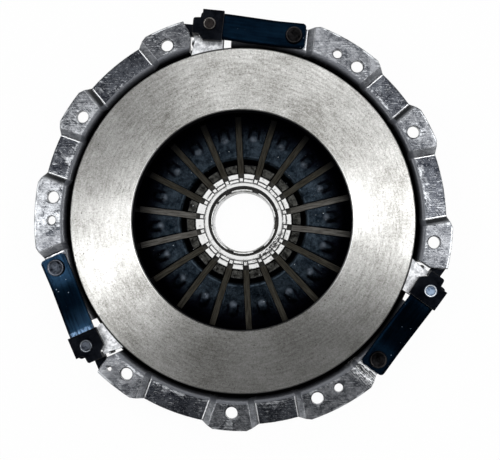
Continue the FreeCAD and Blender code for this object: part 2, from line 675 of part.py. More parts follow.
def make_diaphragm_spring():
    body = new_body("diaphragm_spring")
    revolve(body, "disc", [
        ("spring_outer_radius", "-spring_edge_depth"),
        ("bend_radius", "-spring_peak_depth", "spring_sheet"),
        ("foot_radius", "-tip_depth"),
        ("tip_radius", "-tip_depth"),
        ("tip_radius", "-tip_depth - spring_sheet"),
        ("foot_radius + bend_set_back", "-tip_depth - spring_sheet"),
        ("bend_radius + bend_set_back", "-spring_peak_depth - spring_sheet"),
        ("spring_outer_radius", "-spring_edge_depth - spring_sheet"),
    ])
    inner_top = cone_level("rib_inner_radius")
    outer_top = cone_level("rib_outer_radius")
    profile = outline_sketch(body, "rib_profile", [
        ("rib_inner_radius", f"{inner_top} - spring_sheet / 2"),
        ("rib_outer_radius", f"{outer_top} - spring_sheet / 2"),
        ("rib_outer_radius", outer_top),
        ("rib_outer_radius - rib_slope", f"{outer_top} + rib_rise"),
        ("rib_inner_radius + rib_slope", f"{inner_top} + rib_rise"),
        ("rib_inner_radius", inner_top),
    ], role="XZ_Plane")
    rib = body.newObject("PartDesign::Revolution", "diaphragm_spring_rib")
    rib.Profile = profile
    rib.ReferenceAxis = (profile, ["V_Axis"])
    rib.Midplane = True
    drive(rib, "Angle", "rib_angle")
    repeat(body, "ribs", [rib], "finger_count")
    half_step = "180 / finger_count"
    through = "spring_edge_depth + spring_sheet + cut_margin"
    slot_plan = outline_sketch(body, "slot_plan", [
        polar("sleeve_bore_radius", half_step, "-slot_width / 2"),
        polar("slot_end_radius", half_step, "-slot_width / 2"),
        polar("slot_end_radius", half_step, "slot_width / 2"),
        polar("sleeve_bore_radius", half_step, "slot_width / 2"),
    ], level="0")
    slot = pocket(body, "slot", slot_plan, through)
    eye_plan = circle_sketch(
        body, "eye_plan", (polar("slot_end_radius", half_step), "slot_eye_radius"), level="0"
    )
    eye = pocket(body, "eye", eye_plan, through)
    repeat(body, "slots", [slot, eye], "finger_count")
    turn_body(body, "finger_angle")


def make_pivot_ring():
    ring = document.addObject("Part::Torus", "pivot_ring")
    ring.Label = "pivot_ring"
    drive(ring, "Radius1", "pivot_radius")
    drive(ring, "Radius2", "pivot_wire / 2")
    drive(ring, "Placement.Base.z", "-pivot_centre_depth")
    node_bodies.append(ring)


def make_strap_leaf(pack, leaf):
    """One spring leaf: flat at both rivets, rising from the cover to the lug."""
    body = new_body(f"strap_{pack + 1}_leaf_{leaf + 1}")
    seat = f"low_level + {leaf} * leaf_thickness"
    raised = f"lug_seat_height + {leaf} * leaf_thickness"
    side = outline_sketch(body, "side", [
        ("-strap_cover_end", seat),
        ("cover_bend", seat),
        ("strap_length - lug_bend", raised),
        ("strap_length + strap_lug_end", raised),
        ("strap_length + strap_lug_end", f"{raised} + leaf_thickness"),
        ("strap_length - lug_bend", f"{raised} + leaf_thickness"),
        ("cover_bend", f"{seat} + leaf_thickness"),
        ("-strap_cover_end", f"{seat} + leaf_thickness"),
    ], role="XZ_Plane")
    pad(body, "strip", side, "strap_width", both_ways=True)
    above = "bracket_seat + cut_margin"
    through = "bracket_seat + pad_height + 2 * cut_margin"
    holes = circle_sketch(
        body,
        "holes_plan",
        (("0", "0"), "rivet_radius + rivet_clearance"),
        (("strap_length", "0"), "rivet_radius + rivet_clearance"),
        level=above,
    )
    pocket(body, "holes", holes, through)
    corner_cuts = []
    for end, out in (("(-strap_cover_end)", -1), ("(strap_length + strap_lug_end)", 1)):
        for side_sign in (-1, 1):
            edge = f"{side_sign} * strap_width / 2"
            corner_cuts.append([
                (f"{end} - {out} * strap_corner", edge),
                (f"{end} - {out} * strap_corner", f"{edge} + {side_sign} * cut_margin"),
                (f"{end} + {out} * cut_margin", f"{edge} + {side_sign} * cut_margin"),
                (f"{end} + {out} * cut_margin", f"{edge} - {side_sign} * strap_corner"),
                (end, f"{edge} - {side_sign} * strap_corner"),
            ])
    corners = outline_sketch(body, "corner_plan", *corner_cuts, level=above)
    pocket(body, "corners", corners, through)
    place_on_strap(body, pack, "0")


def make_bracket(pack):
    """The plate on top of the strap, with an arm that reaches down and under the third pad."""
    body = new_body(f"lift_stop_bracket_{pack + 1}")
    arm_top = "(-cover_sheet - stop_gap)"
    arm_bottom = f"({arm_top} - bracket_sheet)"
    web_side = "(bracket_end - bracket_sheet)"
    web_top = "bracket_seat + bracket_sheet / 2"
    top_plan = outline_sketch(body, "top_plan", [
        ("-bracket_strap_side", "bracket_inner_side - bracket_skew"),
        ("-bracket_strap_side", "-bracket_tab_reach"),
        ("bracket_tab_side", "-bracket_tab_reach"),
        ("bracket_tab_side", "-bracket_end_outer - bracket_skew", "bracket_rounding"),
        ("bracket_end", "-bracket_end_outer", "bracket_rounding"),
        ("bracket_end", "bracket_end_inner"),
        ("bracket_bevel_end", "bracket_end_inner"),
        ("bracket_bevel_start", "bracket_inner_side"),
    ], level="bracket_seat")
    pad(body, "top", top_plan, "bracket_sheet")
    arm_side = outline_sketch(body, "arm_side", [
        (web_side, web_top),
        (web_side, arm_bottom, "bracket_rounding"),
        ("arm_end", arm_bottom),
        ("arm_end", arm_top),
        ("bracket_end", arm_top),
        ("bracket_end", web_top),
    ], role="XZ_Plane", level="(arm_outer - arm_inner) / 2")
    pad(body, "arm", arm_side, "arm_inner + arm_outer", both_ways=True)
    hole_plan = circle_sketch(
        body,
        "hole_plan",
        (("0", "0"), "rivet_radius + rivet_clearance"),
        level="bracket_seat + bracket_sheet + cut_margin",
    )
    pocket(body, "hole", hole_plan, "bracket_sheet + 2 * cut_margin")
    place_on_strap(body, pack, "strap_length")


def make_cover_rivets():
    body = new_body("strap_cover_rivets")
    centre = polar("strap_rivet_radius", "strap_rivet_angle")
    pieces = [
        ("lower_head", "cover_rivet_head_radius", "low_back - cover_rivet_head", "cover_rivet_head"),
        ("shank", "rivet_radius", "low_back", "cover_sheet + leaf_stack"),
        ("upper_head", "cover_rivet_head_radius", "low_level + leaf_stack", "cover_rivet_head"),
    ]
    features = []
    for name, radius, level, length in pieces:
        plan = circle_sketch(body, f"{name}_plan", (centre, radius), level=level)
        features.append(pad(body, name, plan, length))
    repeat(body, "three", features, f"{pack_count}")


def make_lug_rivets():
    body = new_body("strap_lug_rivets")
    top = "bracket_seat + bracket_sheet"
    pieces = [
        ("lower_head", "lug_rivet_head_radius", "lug_bottom - lug_rivet_head", "lug_rivet_head"),
        ("shank", "rivet_radius", "lug_bottom", "lug_thickness + leaf_stack + bracket_sheet"),
        ("upper_end", "lug_rivet_end_radius", top, "lug_rivet_end - lug_rivet_bevel"),
        ("upper_face", "lug_rivet_end_radius - lug_rivet_bevel", top, "lug_rivet_end"),
    ]
    features = []
    for name, radius, level, length in pieces:
        plan = circle_sketch(body, f"{name}_plan", (("lug_x", "lug_y"), radius), level=level)
        features.append(pad(body, name, plan, length))
    repeat(body, "three", features, f"{pack_count}")


def make_thrust_sleeve():
    body = new_body("thrust_sleeve")
    groove_bottom = "lock_ring_top - lock_ring_sheet"
    revolve(body, "sleeve", [
        ("sleeve_bore_radius", "-sleeve_bottom_depth + sleeve_bevel"),
        ("sleeve_bore_radius + sleeve_bevel", "-sleeve_bottom_depth"),
        ("sleeve_outer_radius - sleeve_bevel", "-sleeve_bottom_depth"),
        ("sleeve_outer_radius", "-sleeve_bottom_depth + sleeve_bevel"),
        ("sleeve_outer_radius", groove_bottom),
        ("sleeve_outer_radius - lock_groove", groove_bottom),
        ("sleeve_outer_radius - lock_groove", "lock_ring_top"),
        ("sleeve_outer_radius", "lock_ring_top"),
        ("sleeve_outer_radius", "-sleeve_top_depth - sleeve_bevel"),
        ("sleeve_outer_radius - sleeve_bevel", "-sleeve_top_depth"),
        ("sleeve_recess_radius", "-sleeve_top_depth"),
        ("sleeve_recess_radius", "-sleeve_top_depth - sleeve_recess"),
        ("sleeve_bore_radius", "-sleeve_top_depth - sleeve_recess"),
    ])


def make_tabbed_ring(name, root, outer, bottom, thickness, gap):
    """A flat ring with one tab for each finger."""
    body = new_body(name)
    revolve(body, "ring", ring_corners(
        "sleeve_outer_radius + sleeve_clearance", outer, bottom, f"{bottom} + {thickness}"
    ))
    half_step = "180 / finger_count"
    beyond = f"{outer} + cut_margin"
    gap_plan = outline_sketch(body, "gap_plan", [
        polar(root, half_step, f"-{gap} / 2"),
        polar(beyond, half_step, f"-{gap} / 2"),
        polar(beyond, half_step, f"{gap} / 2"),
        polar(root, half_step, f"{gap} / 2"),
    ], level="0")
    cut = pocket(body, "gap", gap_plan, "tip_depth + spring_sheet")
    repeat(body, "gaps", [cut], "finger_count")
    turn_body(body, "finger_angle")


def make_wave_washer():
    body = new_body("wave_washer")
    level = "-sleeve_top_depth - sleeve_recess"
    revolve(body, "washer", ring_corners(
        "washer_inner_radius", "sleeve_recess_radius - sleeve_clearance", level, f"{level} + washer_sheet"
    ))


def make_snap_ring():
    """The wire ring over the wave washer, open at one place."""
    body = new_body("snap_ring")
    level = "-sleeve_top_depth - sleeve_recess + washer_sheet + snap_wire / 2"
    section = new_sketch(body, "section", role="XZ_Plane")
    add_circle(section, ("snap_radius", level), "snap_wire / 2")
    wire = body.newObject("PartDesign::Revolution", "snap_ring_wire")
    wire.Profile = section
    wire.ReferenceAxis = (section, ["V_Axis"])
    drive(wire, "Angle", "360 - snap_gap_angle")


def make_rear_rings():
    washer = new_body("rear_thrust_washer")
    revolve(washer, "ring", ring_corners(
        "sleeve_outer_radius + sleeve_clearance", "rear_washer_radius", "lock_ring_top", "rear_washer_top"
    ))
    lock = new_body("rear_lock_ring")
    revolve(lock, "ring", ring_corners(
        "sleeve_outer_radius - lock_groove + sleeve_clearance", "lock_ring_radius",
        "lock_ring_top - lock_ring_sheet", "lock_ring_top",
    ))


make_cover()
make_pressure_plate()
make_diaphragm_spring()
make_pivot_ring()
for pack_number in range(pack_count):
    for leaf_number in range(leaf_count):
        make_strap_leaf(pack_number, leaf_number)
    make_bracket(pack_number)
make_cover_rivets()
make_lug_rivets()
make_thrust_sleeve()
make_tabbed_ring(
    "tab_retainer", "retainer_root_radius", "retainer_radius", "tip_top", "retainer_sheet", "retainer_slot"
)
make_tabbed_ring(
    "inner_tab_ring", "inner_tab_root_radius", "inner_tab_radius",
    "tip_top + retainer_sheet", "inner_tab_sheet", "inner_tab_slot",
)
make_wave_washer()
make_snap_ring()
make_rear_rings()
document.recompute()

for thing in document.Objects:
    if "Invalid" in thing.State or "Error" in thing.State:
        raise RuntimeError(f"{thing.Name} failed: {thing.State}")
for node in node_bodies:
    if node.Shape.isNull() or not node.Shape.isValid() or not node.Shape.Solids:
        raise RuntimeError(f"{node.Label} has no valid solid")

os.makedirs("parts", exist_ok=True)
for node in node_bodies:
    node.Shape.exportStep(os.path.join("parts", node.Label + ".step"))
    print(node.Label, len(node.Shape.Solids), round(node.Shape.Volume / 1000, 2), "cm3")
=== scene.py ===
"""Clutch pressure plate seen from above: bare steel cover, ground friction ring, dark diaphragm spring."""

import math

import bmesh
import bpy
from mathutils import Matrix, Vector


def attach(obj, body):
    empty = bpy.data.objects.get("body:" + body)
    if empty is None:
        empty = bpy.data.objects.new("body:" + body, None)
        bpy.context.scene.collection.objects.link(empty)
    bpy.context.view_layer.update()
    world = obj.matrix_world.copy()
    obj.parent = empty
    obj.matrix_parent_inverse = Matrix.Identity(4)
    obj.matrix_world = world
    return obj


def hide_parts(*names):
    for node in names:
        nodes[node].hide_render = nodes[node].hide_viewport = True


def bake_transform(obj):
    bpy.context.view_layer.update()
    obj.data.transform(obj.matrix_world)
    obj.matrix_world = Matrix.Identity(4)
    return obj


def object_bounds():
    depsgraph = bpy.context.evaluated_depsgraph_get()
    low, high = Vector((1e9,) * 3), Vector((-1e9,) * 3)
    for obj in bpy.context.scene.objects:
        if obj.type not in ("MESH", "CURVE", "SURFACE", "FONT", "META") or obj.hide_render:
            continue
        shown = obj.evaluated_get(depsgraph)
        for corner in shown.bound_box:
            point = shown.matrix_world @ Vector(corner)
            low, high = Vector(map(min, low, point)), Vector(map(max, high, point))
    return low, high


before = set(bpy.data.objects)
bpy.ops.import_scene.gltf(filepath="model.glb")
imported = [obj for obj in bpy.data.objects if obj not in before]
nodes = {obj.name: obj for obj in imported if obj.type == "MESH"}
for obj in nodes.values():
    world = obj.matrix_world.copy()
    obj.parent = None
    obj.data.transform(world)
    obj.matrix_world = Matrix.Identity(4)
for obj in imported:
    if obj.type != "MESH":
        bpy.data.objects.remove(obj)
cad_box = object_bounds()
scene = bpy.context.scene
MM = 0.001

# Straps: cover rivet as radius and angle, turn from the tangent, distance of the rivets, leaf.
STRAP_RIVET = (199.3, 74.3)
STRAP_TURN = 9.55
STRAP_LENGTH = 87.0
STRAP_HALF = 13.35
LEAF = 1.2
STRAP_BENDS = (19.0, STRAP_LENGTH - 18.5)
STRAP_SIDE_FOOT = STRAP_RIVET[0] * math.sin(math.radians(STRAP_TURN)) + 14.55


# Materials.


class Graph:
    """A small writer for one material's nodes."""

    def __init__(self, name):
        self.material = bpy.data.materials.new(name)
        self.material.use_nodes = True
        self.tree = self.material.node_tree
        self.tree.nodes.clear()
        self.output = self.tree.nodes.new("ShaderNodeOutputMaterial")
        self.place = self.add("ShaderNodeTexCoord").outputs["Object"]

    def add(self, kind, inputs=None, **settings):
        node = self.tree.nodes.new(kind)
        for key, setting in settings.items():
            setattr(node, key, setting)
        for key, source in (inputs or {}).items():
            self.feed(node.inputs[key], source)
        return node

    def feed(self, socket, source):
        if isinstance(source, bpy.types.NodeSocket):
            self.tree.links.new(source, socket)
        elif isinstance(source, (tuple, list)) and len(source) == 3 and socket.type == "RGBA":
            socket.default_value = (*source, 1)
        else:
            socket.default_value = source

    def math(self, operation, a, b=0.0, c=0.0, clamp=False):
        node = self.add("ShaderNodeMath", {0: a, 1: b, 2: c}, operation=operation, use_clamp=clamp)
        return node.outputs[0]

    def times(self, a, b):
        return self.math("MULTIPLY", a, b)

    def plus(self, a, b):
        return self.math("ADD", a, b)

    def minus(self, a, b):
        return self.math("SUBTRACT", a, b)

    def larger(self, a, b):
        return self.math("MAXIMUM", a, b)

    def split(self, vector=None):
        node = self.add("ShaderNodeSeparateXYZ", {0: vector or self.place})
        return node.outputs[0], node.outputs[1], node.outputs[2]

    def join(self, x, y, z):
        return self.add("ShaderNodeCombineXYZ", {0: x, 1: y, 2: z}).outputs[0]

    def noise(self, scale, detail=4.0, roughness=0.55, vector=None, distortion=0.0):
        node = self.add("ShaderNodeTexNoise", {
            "Vector": vector or self.place, "Scale": scale, "Detail": detail,
            "Roughness": roughness, "Distortion": distortion,
        })
        return node.outputs["Fac"]

    def cells(self, scale):
        return self.add("ShaderNodeTexVoronoi", {"Vector": self.place, "Scale": scale}).outputs["Distance"]

    def span(self, source, low, high, to_low=0.0, to_high=1.0, smooth=True):
        node = self.add("ShaderNodeMapRange", {
            "Value": source, "From Min": low, "From Max": high, "To Min": to_low, "To Max": to_high,
        }, interpolation_type="SMOOTHSTEP" if smooth else "LINEAR")
        return node.outputs["Result"]

    def mix(self, share, a, b):
        node = self.add("ShaderNodeMix", {"Factor": share, 6: a, 7: b}, data_type="RGBA")
        return node.outputs[2]

    def blend_values(self, share, a, b):
        return self.add("ShaderNodeMix", {"Factor": share, 2: a, 3: b}).outputs[0]

    def polar(self):
        """Radius in metres and angle in radians round the axis."""
        x, y, z = self.split()
        radius = self.math("SQRT", self.plus(self.times(x, x), self.times(y, y)))
        return radius, self.math("ARCTAN2", y, x), z

    def edges(self, radius):
        """1 on sharp edges, fading to 0 at a distance of about the radius."""
        soft = self.add("ShaderNodeBevel", {"Radius": radius}, samples=6).outputs[0]
        hard = self.add("ShaderNodeNewGeometry").outputs["Normal"]
        dot = self.add("ShaderNodeVectorMath", {0: soft, 1: hard}, operation="DOT_PRODUCT").outputs["Value"]
        return self.span(dot, 0.995, 0.88)

    def bump(self, height, strength, distance, normal=None):
        inputs = {"Height": height, "Strength": strength, "Distance": distance}
        if normal:
            inputs["Normal"] = normal
        return self.add("ShaderNodeBump", inputs).outputs[0]

    def shader(self, colour, roughness, metallic=1.0, normal=None, tangent=None, **constants):
        inputs = {"Base Color": colour, "Roughness": roughness, "Metallic": metallic}
        if normal:
            inputs["Normal"] = normal
        if tangent:
            inputs["Tangent"] = tangent
        node = self.add("ShaderNodeBsdfPrincipled", inputs)
        for key, number in constants.items():
            node.inputs[key.replace("_", " ")].default_value = number
        self.feed(self.output.inputs["Surface"], node.outputs[0])
        return self.material


def paint(node, material):
    slots = nodes[node].material_slots
    for slot in slots:
        slot.material = material


def turned(g, radius, angle, centre, pitch=120):
    """Distances along and across the nearest of like radii, which are a pitch in degrees apart."""
    shifted = g.plus(angle, math.radians(720 + pitch / 2 - centre))
    share = g.minus(g.math("MODULO", shifted, math.radians(pitch)), math.radians(pitch / 2))
    along = g.times(radius, g.math("COSINE", share))
    return along, g.times(radius, g.math("SINE", share))


def friction_iron():
    """Ground ring: fine grain, circular streaks and pits, with painted highlights at the sides and on the
    inner edge and painted shade towards the bottom and upper left; machined lugs, their window ends painted
    black as shade; raw casting elsewhere, its bore wall painted near black as shade.
    """
    g = Graph("ground_iron")
    radius, angle, z = g.polar()
    normal_z = g.split(g.add("ShaderNodeNewGeometry").outputs["Normal"])[2]
    ground = g.times(g.span(normal_z, 0.6, 0.9), g.span(z, -4 * MM, -2 * MM))
    grain = g.noise(900, 2, 0.6)
    speckle = g.noise(380, 4, 0.7)
    rings = g.noise(1.0, 4, 0.7, g.join(g.times(radius, 420), g.times(angle, 8), 0.0))
    cloud = g.noise(15, 5, 0.6, distortion=0.4)
    pits = g.span(g.cells(150), 0.12, 0.05)
    pits = g.times(pits, g.span(g.noise(28), 0.52, 0.62))
    tone = g.plus(g.times(grain, 0.23), g.times(speckle, 0.21))
    tone = g.plus(tone, g.times(rings, 0.24))
    tone = g.plus(tone, g.times(cloud, 0.32))
    light = g.mix(g.span(tone, 0.40, 0.61, smooth=False), (0.22, 0.215, 0.198), (0.72, 0.717, 0.70))
    x, y = g.split()[:2]
    scratch = g.noise(1.0, 3, 0.7, g.join(g.plus(g.times(x, 60), g.times(y, 25)),
                                          g.minus(g.times(y, 1000),
                                                  g.times(x, 420)), 0.0))
    light = g.mix(g.times(g.span(scratch, 0.62, 0.70), 0.45), light, (0.16, 0.155, 0.14))
    specks = g.times(g.span(g.noise(620, 2, 0.6), 0.64, 0.70), 0.7)
    light = g.mix(specks, light, (0.05, 0.048, 0.04))
    # Painted shade: the ring darker towards the bottom and towards the upper left.
    painted_shade = g.span(g.plus(y, g.times(x, -0.12)), -30 * MM, -140 * MM)
    leftwards = g.plus(g.times(x, -0.87), g.times(y, 0.5))
    painted_shade = g.plus(g.times(painted_shade, 0.55),
                     g.times(g.span(leftwards, 95 * MM, 160 * MM), 0.36))
    light = g.mix(painted_shade, light, (0.02, 0.019, 0.017))
    # Painted highlight: near white at the left and right sides, stronger towards the inner edge.
    sideways = g.math("ABSOLUTE", g.math("DIVIDE", g.plus(x, g.times(y, 0.16)), radius))
    painted_side_highlight = g.times(g.span(sideways, 0.93, 1.0), g.span(radius, 165 * MM, 118 * MM, 0.0, 0.20))
    light = g.mix(painted_side_highlight, light, (0.93, 0.927, 0.91))
    # Painted highlight on the inner edge of the ring at the left and right.
    painted_lip = g.times(g.span(radius, 115.0 * MM, 114.6 * MM),
                  g.span(g.math("ABSOLUTE", x), 70 * MM, 105 * MM, 0.0, 0.7))
    light = g.mix(painted_lip, light, (0.97, 0.97, 0.96))
    light = g.mix(pits, light, (0.05, 0.045, 0.035))
    lug = g.span(radius, 178.0 * MM, 178.6 * MM)
    lug_mottle = g.plus(g.times(g.noise(160, 4), 0.6), g.times(g.noise(520, 3, 0.7), 0.4))
    lug_tone = g.mix(g.span(lug_mottle, 0.38, 0.60), (0.36, 0.37, 0.39), (0.90, 0.91, 0.93))
    lug_across = turned(g, radius, angle, 105.6)[1]
    # Painted shade: a corner and a heel of each lug painted black where the window ends lie in shade.
    corner = g.plus(lug_across, g.times(radius, 0.554))
    corner = g.times(g.span(corner, 102.9 * MM, 103.7 * MM), g.span(radius, 192.6 * MM, 191.8 * MM))
    heel = g.times(g.span(lug_across, -31.2 * MM, -32.0 * MM), g.span(radius, 180.2 * MM, 181.0 * MM))
    painted_window_shade = g.larger(corner, heel)
    lug_tone = g.mix(painted_window_shade, lug_tone, (0.004, 0.004, 0.005))
    nub = g.times(g.span(lug_across, -6.0 * MM, -5.0 * MM), g.span(radius, 191.8 * MM, 192.6 * MM))
    lug_tone = g.mix(g.times(nub, 0.6), lug_tone, (0.25, 0.26, 0.28))
    root = g.times(g.span(radius, 178.9 * MM, 178.3 * MM), g.span(z, 1.9 * MM, 1.4 * MM))
    light = g.mix(g.times(root, 0.95), g.mix(lug, light, lug_tone), (0.01, 0.01, 0.01))
    raw = g.mix(g.noise(90, 6, 0.7), (0.012, 0.012, 0.013), (0.045, 0.045, 0.046))
    # Painted shade: the bore wall inside the ring near black.
    raw = g.mix(g.span(radius, 116.5 * MM, 115.0 * MM), raw, (0.003, 0.003, 0.004))
    cast_lug = g.times(lug, g.span(z, -3.5 * MM, -2.2 * MM))
    raw = g.mix(cast_lug, raw, (0.30, 0.31, 0.32))
    colour = g.mix(ground, raw, light)
    roughness = g.blend_values(ground, 0.62, g.span(tone, 0.35, 0.65, 0.41, 0.35))
    metallic = g.blend_values(g.times(ground, lug), 1.0, 0.35)
    normal = g.bump(tone, 0.4, 0.00025)
    tangent = g.add("ShaderNodeTangent", direction_type="RADIAL", axis="Z").outputs[0]
    return g.shader(colour, roughness, metallic, normal, tangent, Anisotropic=0.72, Anisotropic_Rotation=0.25)


# Low channels of the flange: centre angle and half width; bolt and dowel holes: angle on the hole circle.
CHANNELS = ((9.9, 32.75), (40.4, 21.25))
HOLE_CIRCLE = 197.5
HOLES = ((27.0, 6.1), (53.0, 6.1), (113.2, 6.1), (60.0, 4.4))


def cover_steel():
    """Bare pressed steel: dark blue-grey, rubbed bright round the holes, rubbed and with painted highlights
    along edges, finely scratched; painted highlights on a pad, on the slopes and at their feet; painted shade
    round the holes, at the slope feet, on slopes facing +y, in the fold, inside the cover and towards the
    bottom.
    """
    g = Graph("bare_steel")
    radius, angle, z = g.polar()
    x, y = g.split()[:2]
    facing = g.add("ShaderNodeNewGeometry").outputs["Normal"]
    normal_x, normal_y, normal_z = g.split(facing)
    outwards = g.math("DIVIDE", g.plus(g.times(normal_x, x), g.times(normal_y, y)), radius)
    cloud = g.noise(42, 6, 0.7, distortion=0.5)
    fine = g.noise(520, 5, 0.75)
    mottle = g.noise(190, 5, 0.75, distortion=0.8)
    lines = g.noise(1.0, 4, 0.8, g.join(g.times(x, 45), g.times(y, 900), 0.0))
    slanted = g.noise(1.0, 4, 0.8, g.join(g.times(g.plus(x, y), 600),
                                          g.times(g.minus(x, y), 40), 0.0))
    scratches = g.plus(g.times(lines, 0.6), g.times(slanted, 0.4))
    tone = g.plus(g.times(cloud, 0.35), g.times(mottle, 0.30))
    tone = g.plus(tone, g.times(scratches, 0.35))
    low = g.mix(g.span(tone, 0.41, 0.61), (0.009, 0.0105, 0.015), (0.088, 0.094, 0.108))
    high = g.mix(g.span(tone, 0.41, 0.61), (0.024, 0.027, 0.034), (0.265, 0.272, 0.288))
    on_pad = g.span(z, -2.5 * MM, -0.4 * MM)
    base = g.mix(on_pad, low, high)
    # Painted shade: the flange darker towards the bottom.
    painted_shade = g.times(g.span(y, -85 * MM, -150 * MM), g.span(x, 20 * MM, -40 * MM))
    base = g.mix(g.times(painted_shade, 0.28), base, (0.006, 0.006, 0.008))
    behind = g.times(g.span(y, 150 * MM, 172 * MM), g.span(x, -30 * MM, -55 * MM))
    base = g.mix(g.times(behind, 0.45), base, (0.006, 0.006, 0.008))

    near, painted_lip = None, None
    for hole, hole_radius in HOLES:
        along, across = turned(g, radius, angle, hole)
        along = g.minus(along, HOLE_CIRCLE * MM)
        distance = g.math("SQRT", g.plus(g.times(along, along), g.times(across, across)))
        near = g.math("MINIMUM", near, distance) if near else distance
        ring = g.span(distance, (hole_radius + 1.2) * MM, (hole_radius + 0.8) * MM)
        painted_lip = g.larger(painted_lip, ring) if painted_lip else ring
    holes = g.times(g.span(near, 15 * MM, 7 * MM), 0.055)
    tangent_line = g.times(g.span(g.math("ABSOLUTE", g.minus(radius, 189.5 * MM)),
                                  2.6 * MM, 0.5 * MM), 0.055)
    rim = g.times(g.span(radius, 203 * MM, 214 * MM), 0.03)
    shelf = g.times(g.span(g.math("ABSOLUTE", g.minus(radius, 192.0 * MM)), 4.5 * MM, 1.5 * MM),
                    g.minus(0.05, g.times(on_pad, 0.05)))
    rim = g.plus(rim, shelf)
    wear = g.plus(g.plus(holes, tangent_line), rim)
    wear = g.plus(wear, g.plus(g.times(g.noise(26, 4, 0.6, distortion=1.2), 0.45),
                               g.times(scratches, 0.55)))
    rubbed = g.times(g.span(wear, 0.56, 0.66), g.span(mottle, 0.38, 0.52))
    base = g.mix(g.times(rubbed, 0.65), base, (0.70, 0.72, 0.75))
    strokes = g.noise(1.0, 3, 0.7, g.join(g.times(x, 130), g.times(y, 800), 3.0))
    strokes = g.times(g.span(strokes, 0.57, 0.66), g.span(g.noise(45, 4), 0.42, 0.60))
    flecks = g.larger(g.span(g.noise(640, 3, 0.7), 0.61, 0.70), strokes)
    base = g.mix(g.times(flecks, 0.50), base, (0.72, 0.74, 0.77))
    # Painted shade: a dark ring round each hole.
    painted_lip = g.times(painted_lip, g.span(g.noise(38, 3), 0.34, 0.44))
    base = g.mix(g.times(painted_lip, 0.9), base, (0.006, 0.006, 0.008))
    # Rubbed edge with painted highlight: the outer rim brightened in patches.
    outer = g.times(g.span(radius, 213.6 * MM, 214.4 * MM), g.span(g.noise(60, 4), 0.42, 0.55))
    base = g.mix(g.times(outer, 0.8), base, (0.80, 0.82, 0.85))

    flange = g.span(radius, 186.5 * MM, 188.5 * MM)
    # Painted highlight and painted shadow at the foot of each slope: a bright line and a black line on the
    # low flange.
    bright_foot, dark_foot = None, None
    asides = []
    for centre, half in CHANNELS:
        asides.append(g.minus(g.math("ABSOLUTE", turned(g, radius, angle, centre)[1]), half * MM))
    strap_across = turned(g, radius, angle, STRAP_RIVET[1] + STRAP_TURN)[1]
    asides.append(g.minus(g.times(strap_across, -1.0), STRAP_SIDE_FOOT * MM))
    for aside in asides:
        bright = g.times(g.span(aside, -1.8 * MM, -1.2 * MM), g.span(aside, -0.4 * MM, -0.9 * MM))
        dark = g.times(g.span(aside, -0.7 * MM, -0.1 * MM), g.span(aside, 1.5 * MM, 0.7 * MM))
        bright_foot = g.larger(bright_foot, bright) if bright_foot else bright
        dark_foot = g.larger(dark_foot, dark) if dark_foot else dark
    at_foot = g.times(flange, g.span(z, -6.6 * MM, -7.2 * MM))
    bright_foot = g.times(bright_foot, g.span(g.noise(75, 4), 0.30, 0.55, 0.35, 0.85))
    colour = g.mix(g.times(bright_foot, at_foot), base, (0.85, 0.86, 0.88))
    colour = g.mix(g.times(dark_foot, at_foot), colour, (0.004, 0.004, 0.005))

    # Painted light on the slopes: a lighter tone than their lighting gives, with painted shadow near black
    # towards their foot.
    slope = g.times(g.span(normal_z, 0.985, 0.93), g.times(flange, g.span(z, -8.2 * MM, -7.9 * MM)))
    side_tone = g.mix(g.span(tone, 0.41, 0.61), (0.085, 0.090, 0.102), (0.33, 0.34, 0.36))
    side_tone = g.mix(g.times(flecks, 0.35), side_tone, (0.7, 0.72, 0.75))
    side_tone = g.mix(g.times(g.span(z, -6.9 * MM, -7.6 * MM), 0.97), side_tone, (0.002, 0.002, 0.003))
    colour = g.mix(slope, colour, side_tone)
    # Painted shade: slopes facing +y painted near black.
    upward = g.times(g.span(normal_y, 0.25, 0.5), g.span(z, -0.6 * MM, -4.0 * MM))
    colour = g.mix(g.times(g.times(slope, upward), 0.95), colour, (0.004, 0.005, 0.006))
    # Painted highlight: the pad at the left lightened.
    beside = g.math("ABSOLUTE", g.minus(y, 55 * MM))
    bright_pad = g.times(g.span(x, -120 * MM, -150 * MM), g.span(beside, 75 * MM, 60 * MM))
    bright_pad = g.times(bright_pad, g.times(on_pad, g.span(tone, 0.44, 0.56)))
    colour = g.mix(g.times(bright_pad, 0.38), colour, (0.72, 0.74, 0.77))
    scuffed = g.times(g.span(asides[2], -7 * MM, -1 * MM), g.span(asides[2], 17 * MM, 5 * MM))
    scuffed = g.times(scuffed, g.times(g.span(x, 60 * MM, 85 * MM), g.span(y, -100 * MM, -130 * MM)))
    scrapes = g.plus(g.times(slanted, 0.5), g.times(g.noise(420, 4, 0.75), 0.5))
    scuffed = g.times(scuffed, g.span(scrapes, 0.485, 0.54))
    colour = g.mix(scuffed, colour, (0.88, 0.89, 0.90))
    # Rubbed edges with painted highlight: sharp edges brightened in patches.
    edge = g.times(g.edges(1.2 * MM), g.span(g.noise(150, 4), 0.35, 0.55))
    colour = g.mix(g.times(edge, 0.8), colour, (0.85, 0.86, 0.88))
    # Painted shade: the fold darkening to near black towards the gap, with bright scratches near the flange.
    fold = g.times(g.span(radius, 189.3 * MM, 188.2 * MM), g.span(normal_z, 0.05, 0.2))
    fold_tone = g.mix(g.span(radius, 181.5 * MM, 188.8 * MM), (0.002, 0.002, 0.003), (0.125, 0.132, 0.150))
    fold_tone = g.mix(g.times(g.span(scratches, 0.56, 0.66), g.span(radius, 185 * MM, 188.5 * MM, 0.0, 0.5)),
                      fold_tone, (0.5, 0.52, 0.55))
    colour = g.mix(g.times(fold, 0.9), colour, fold_tone)
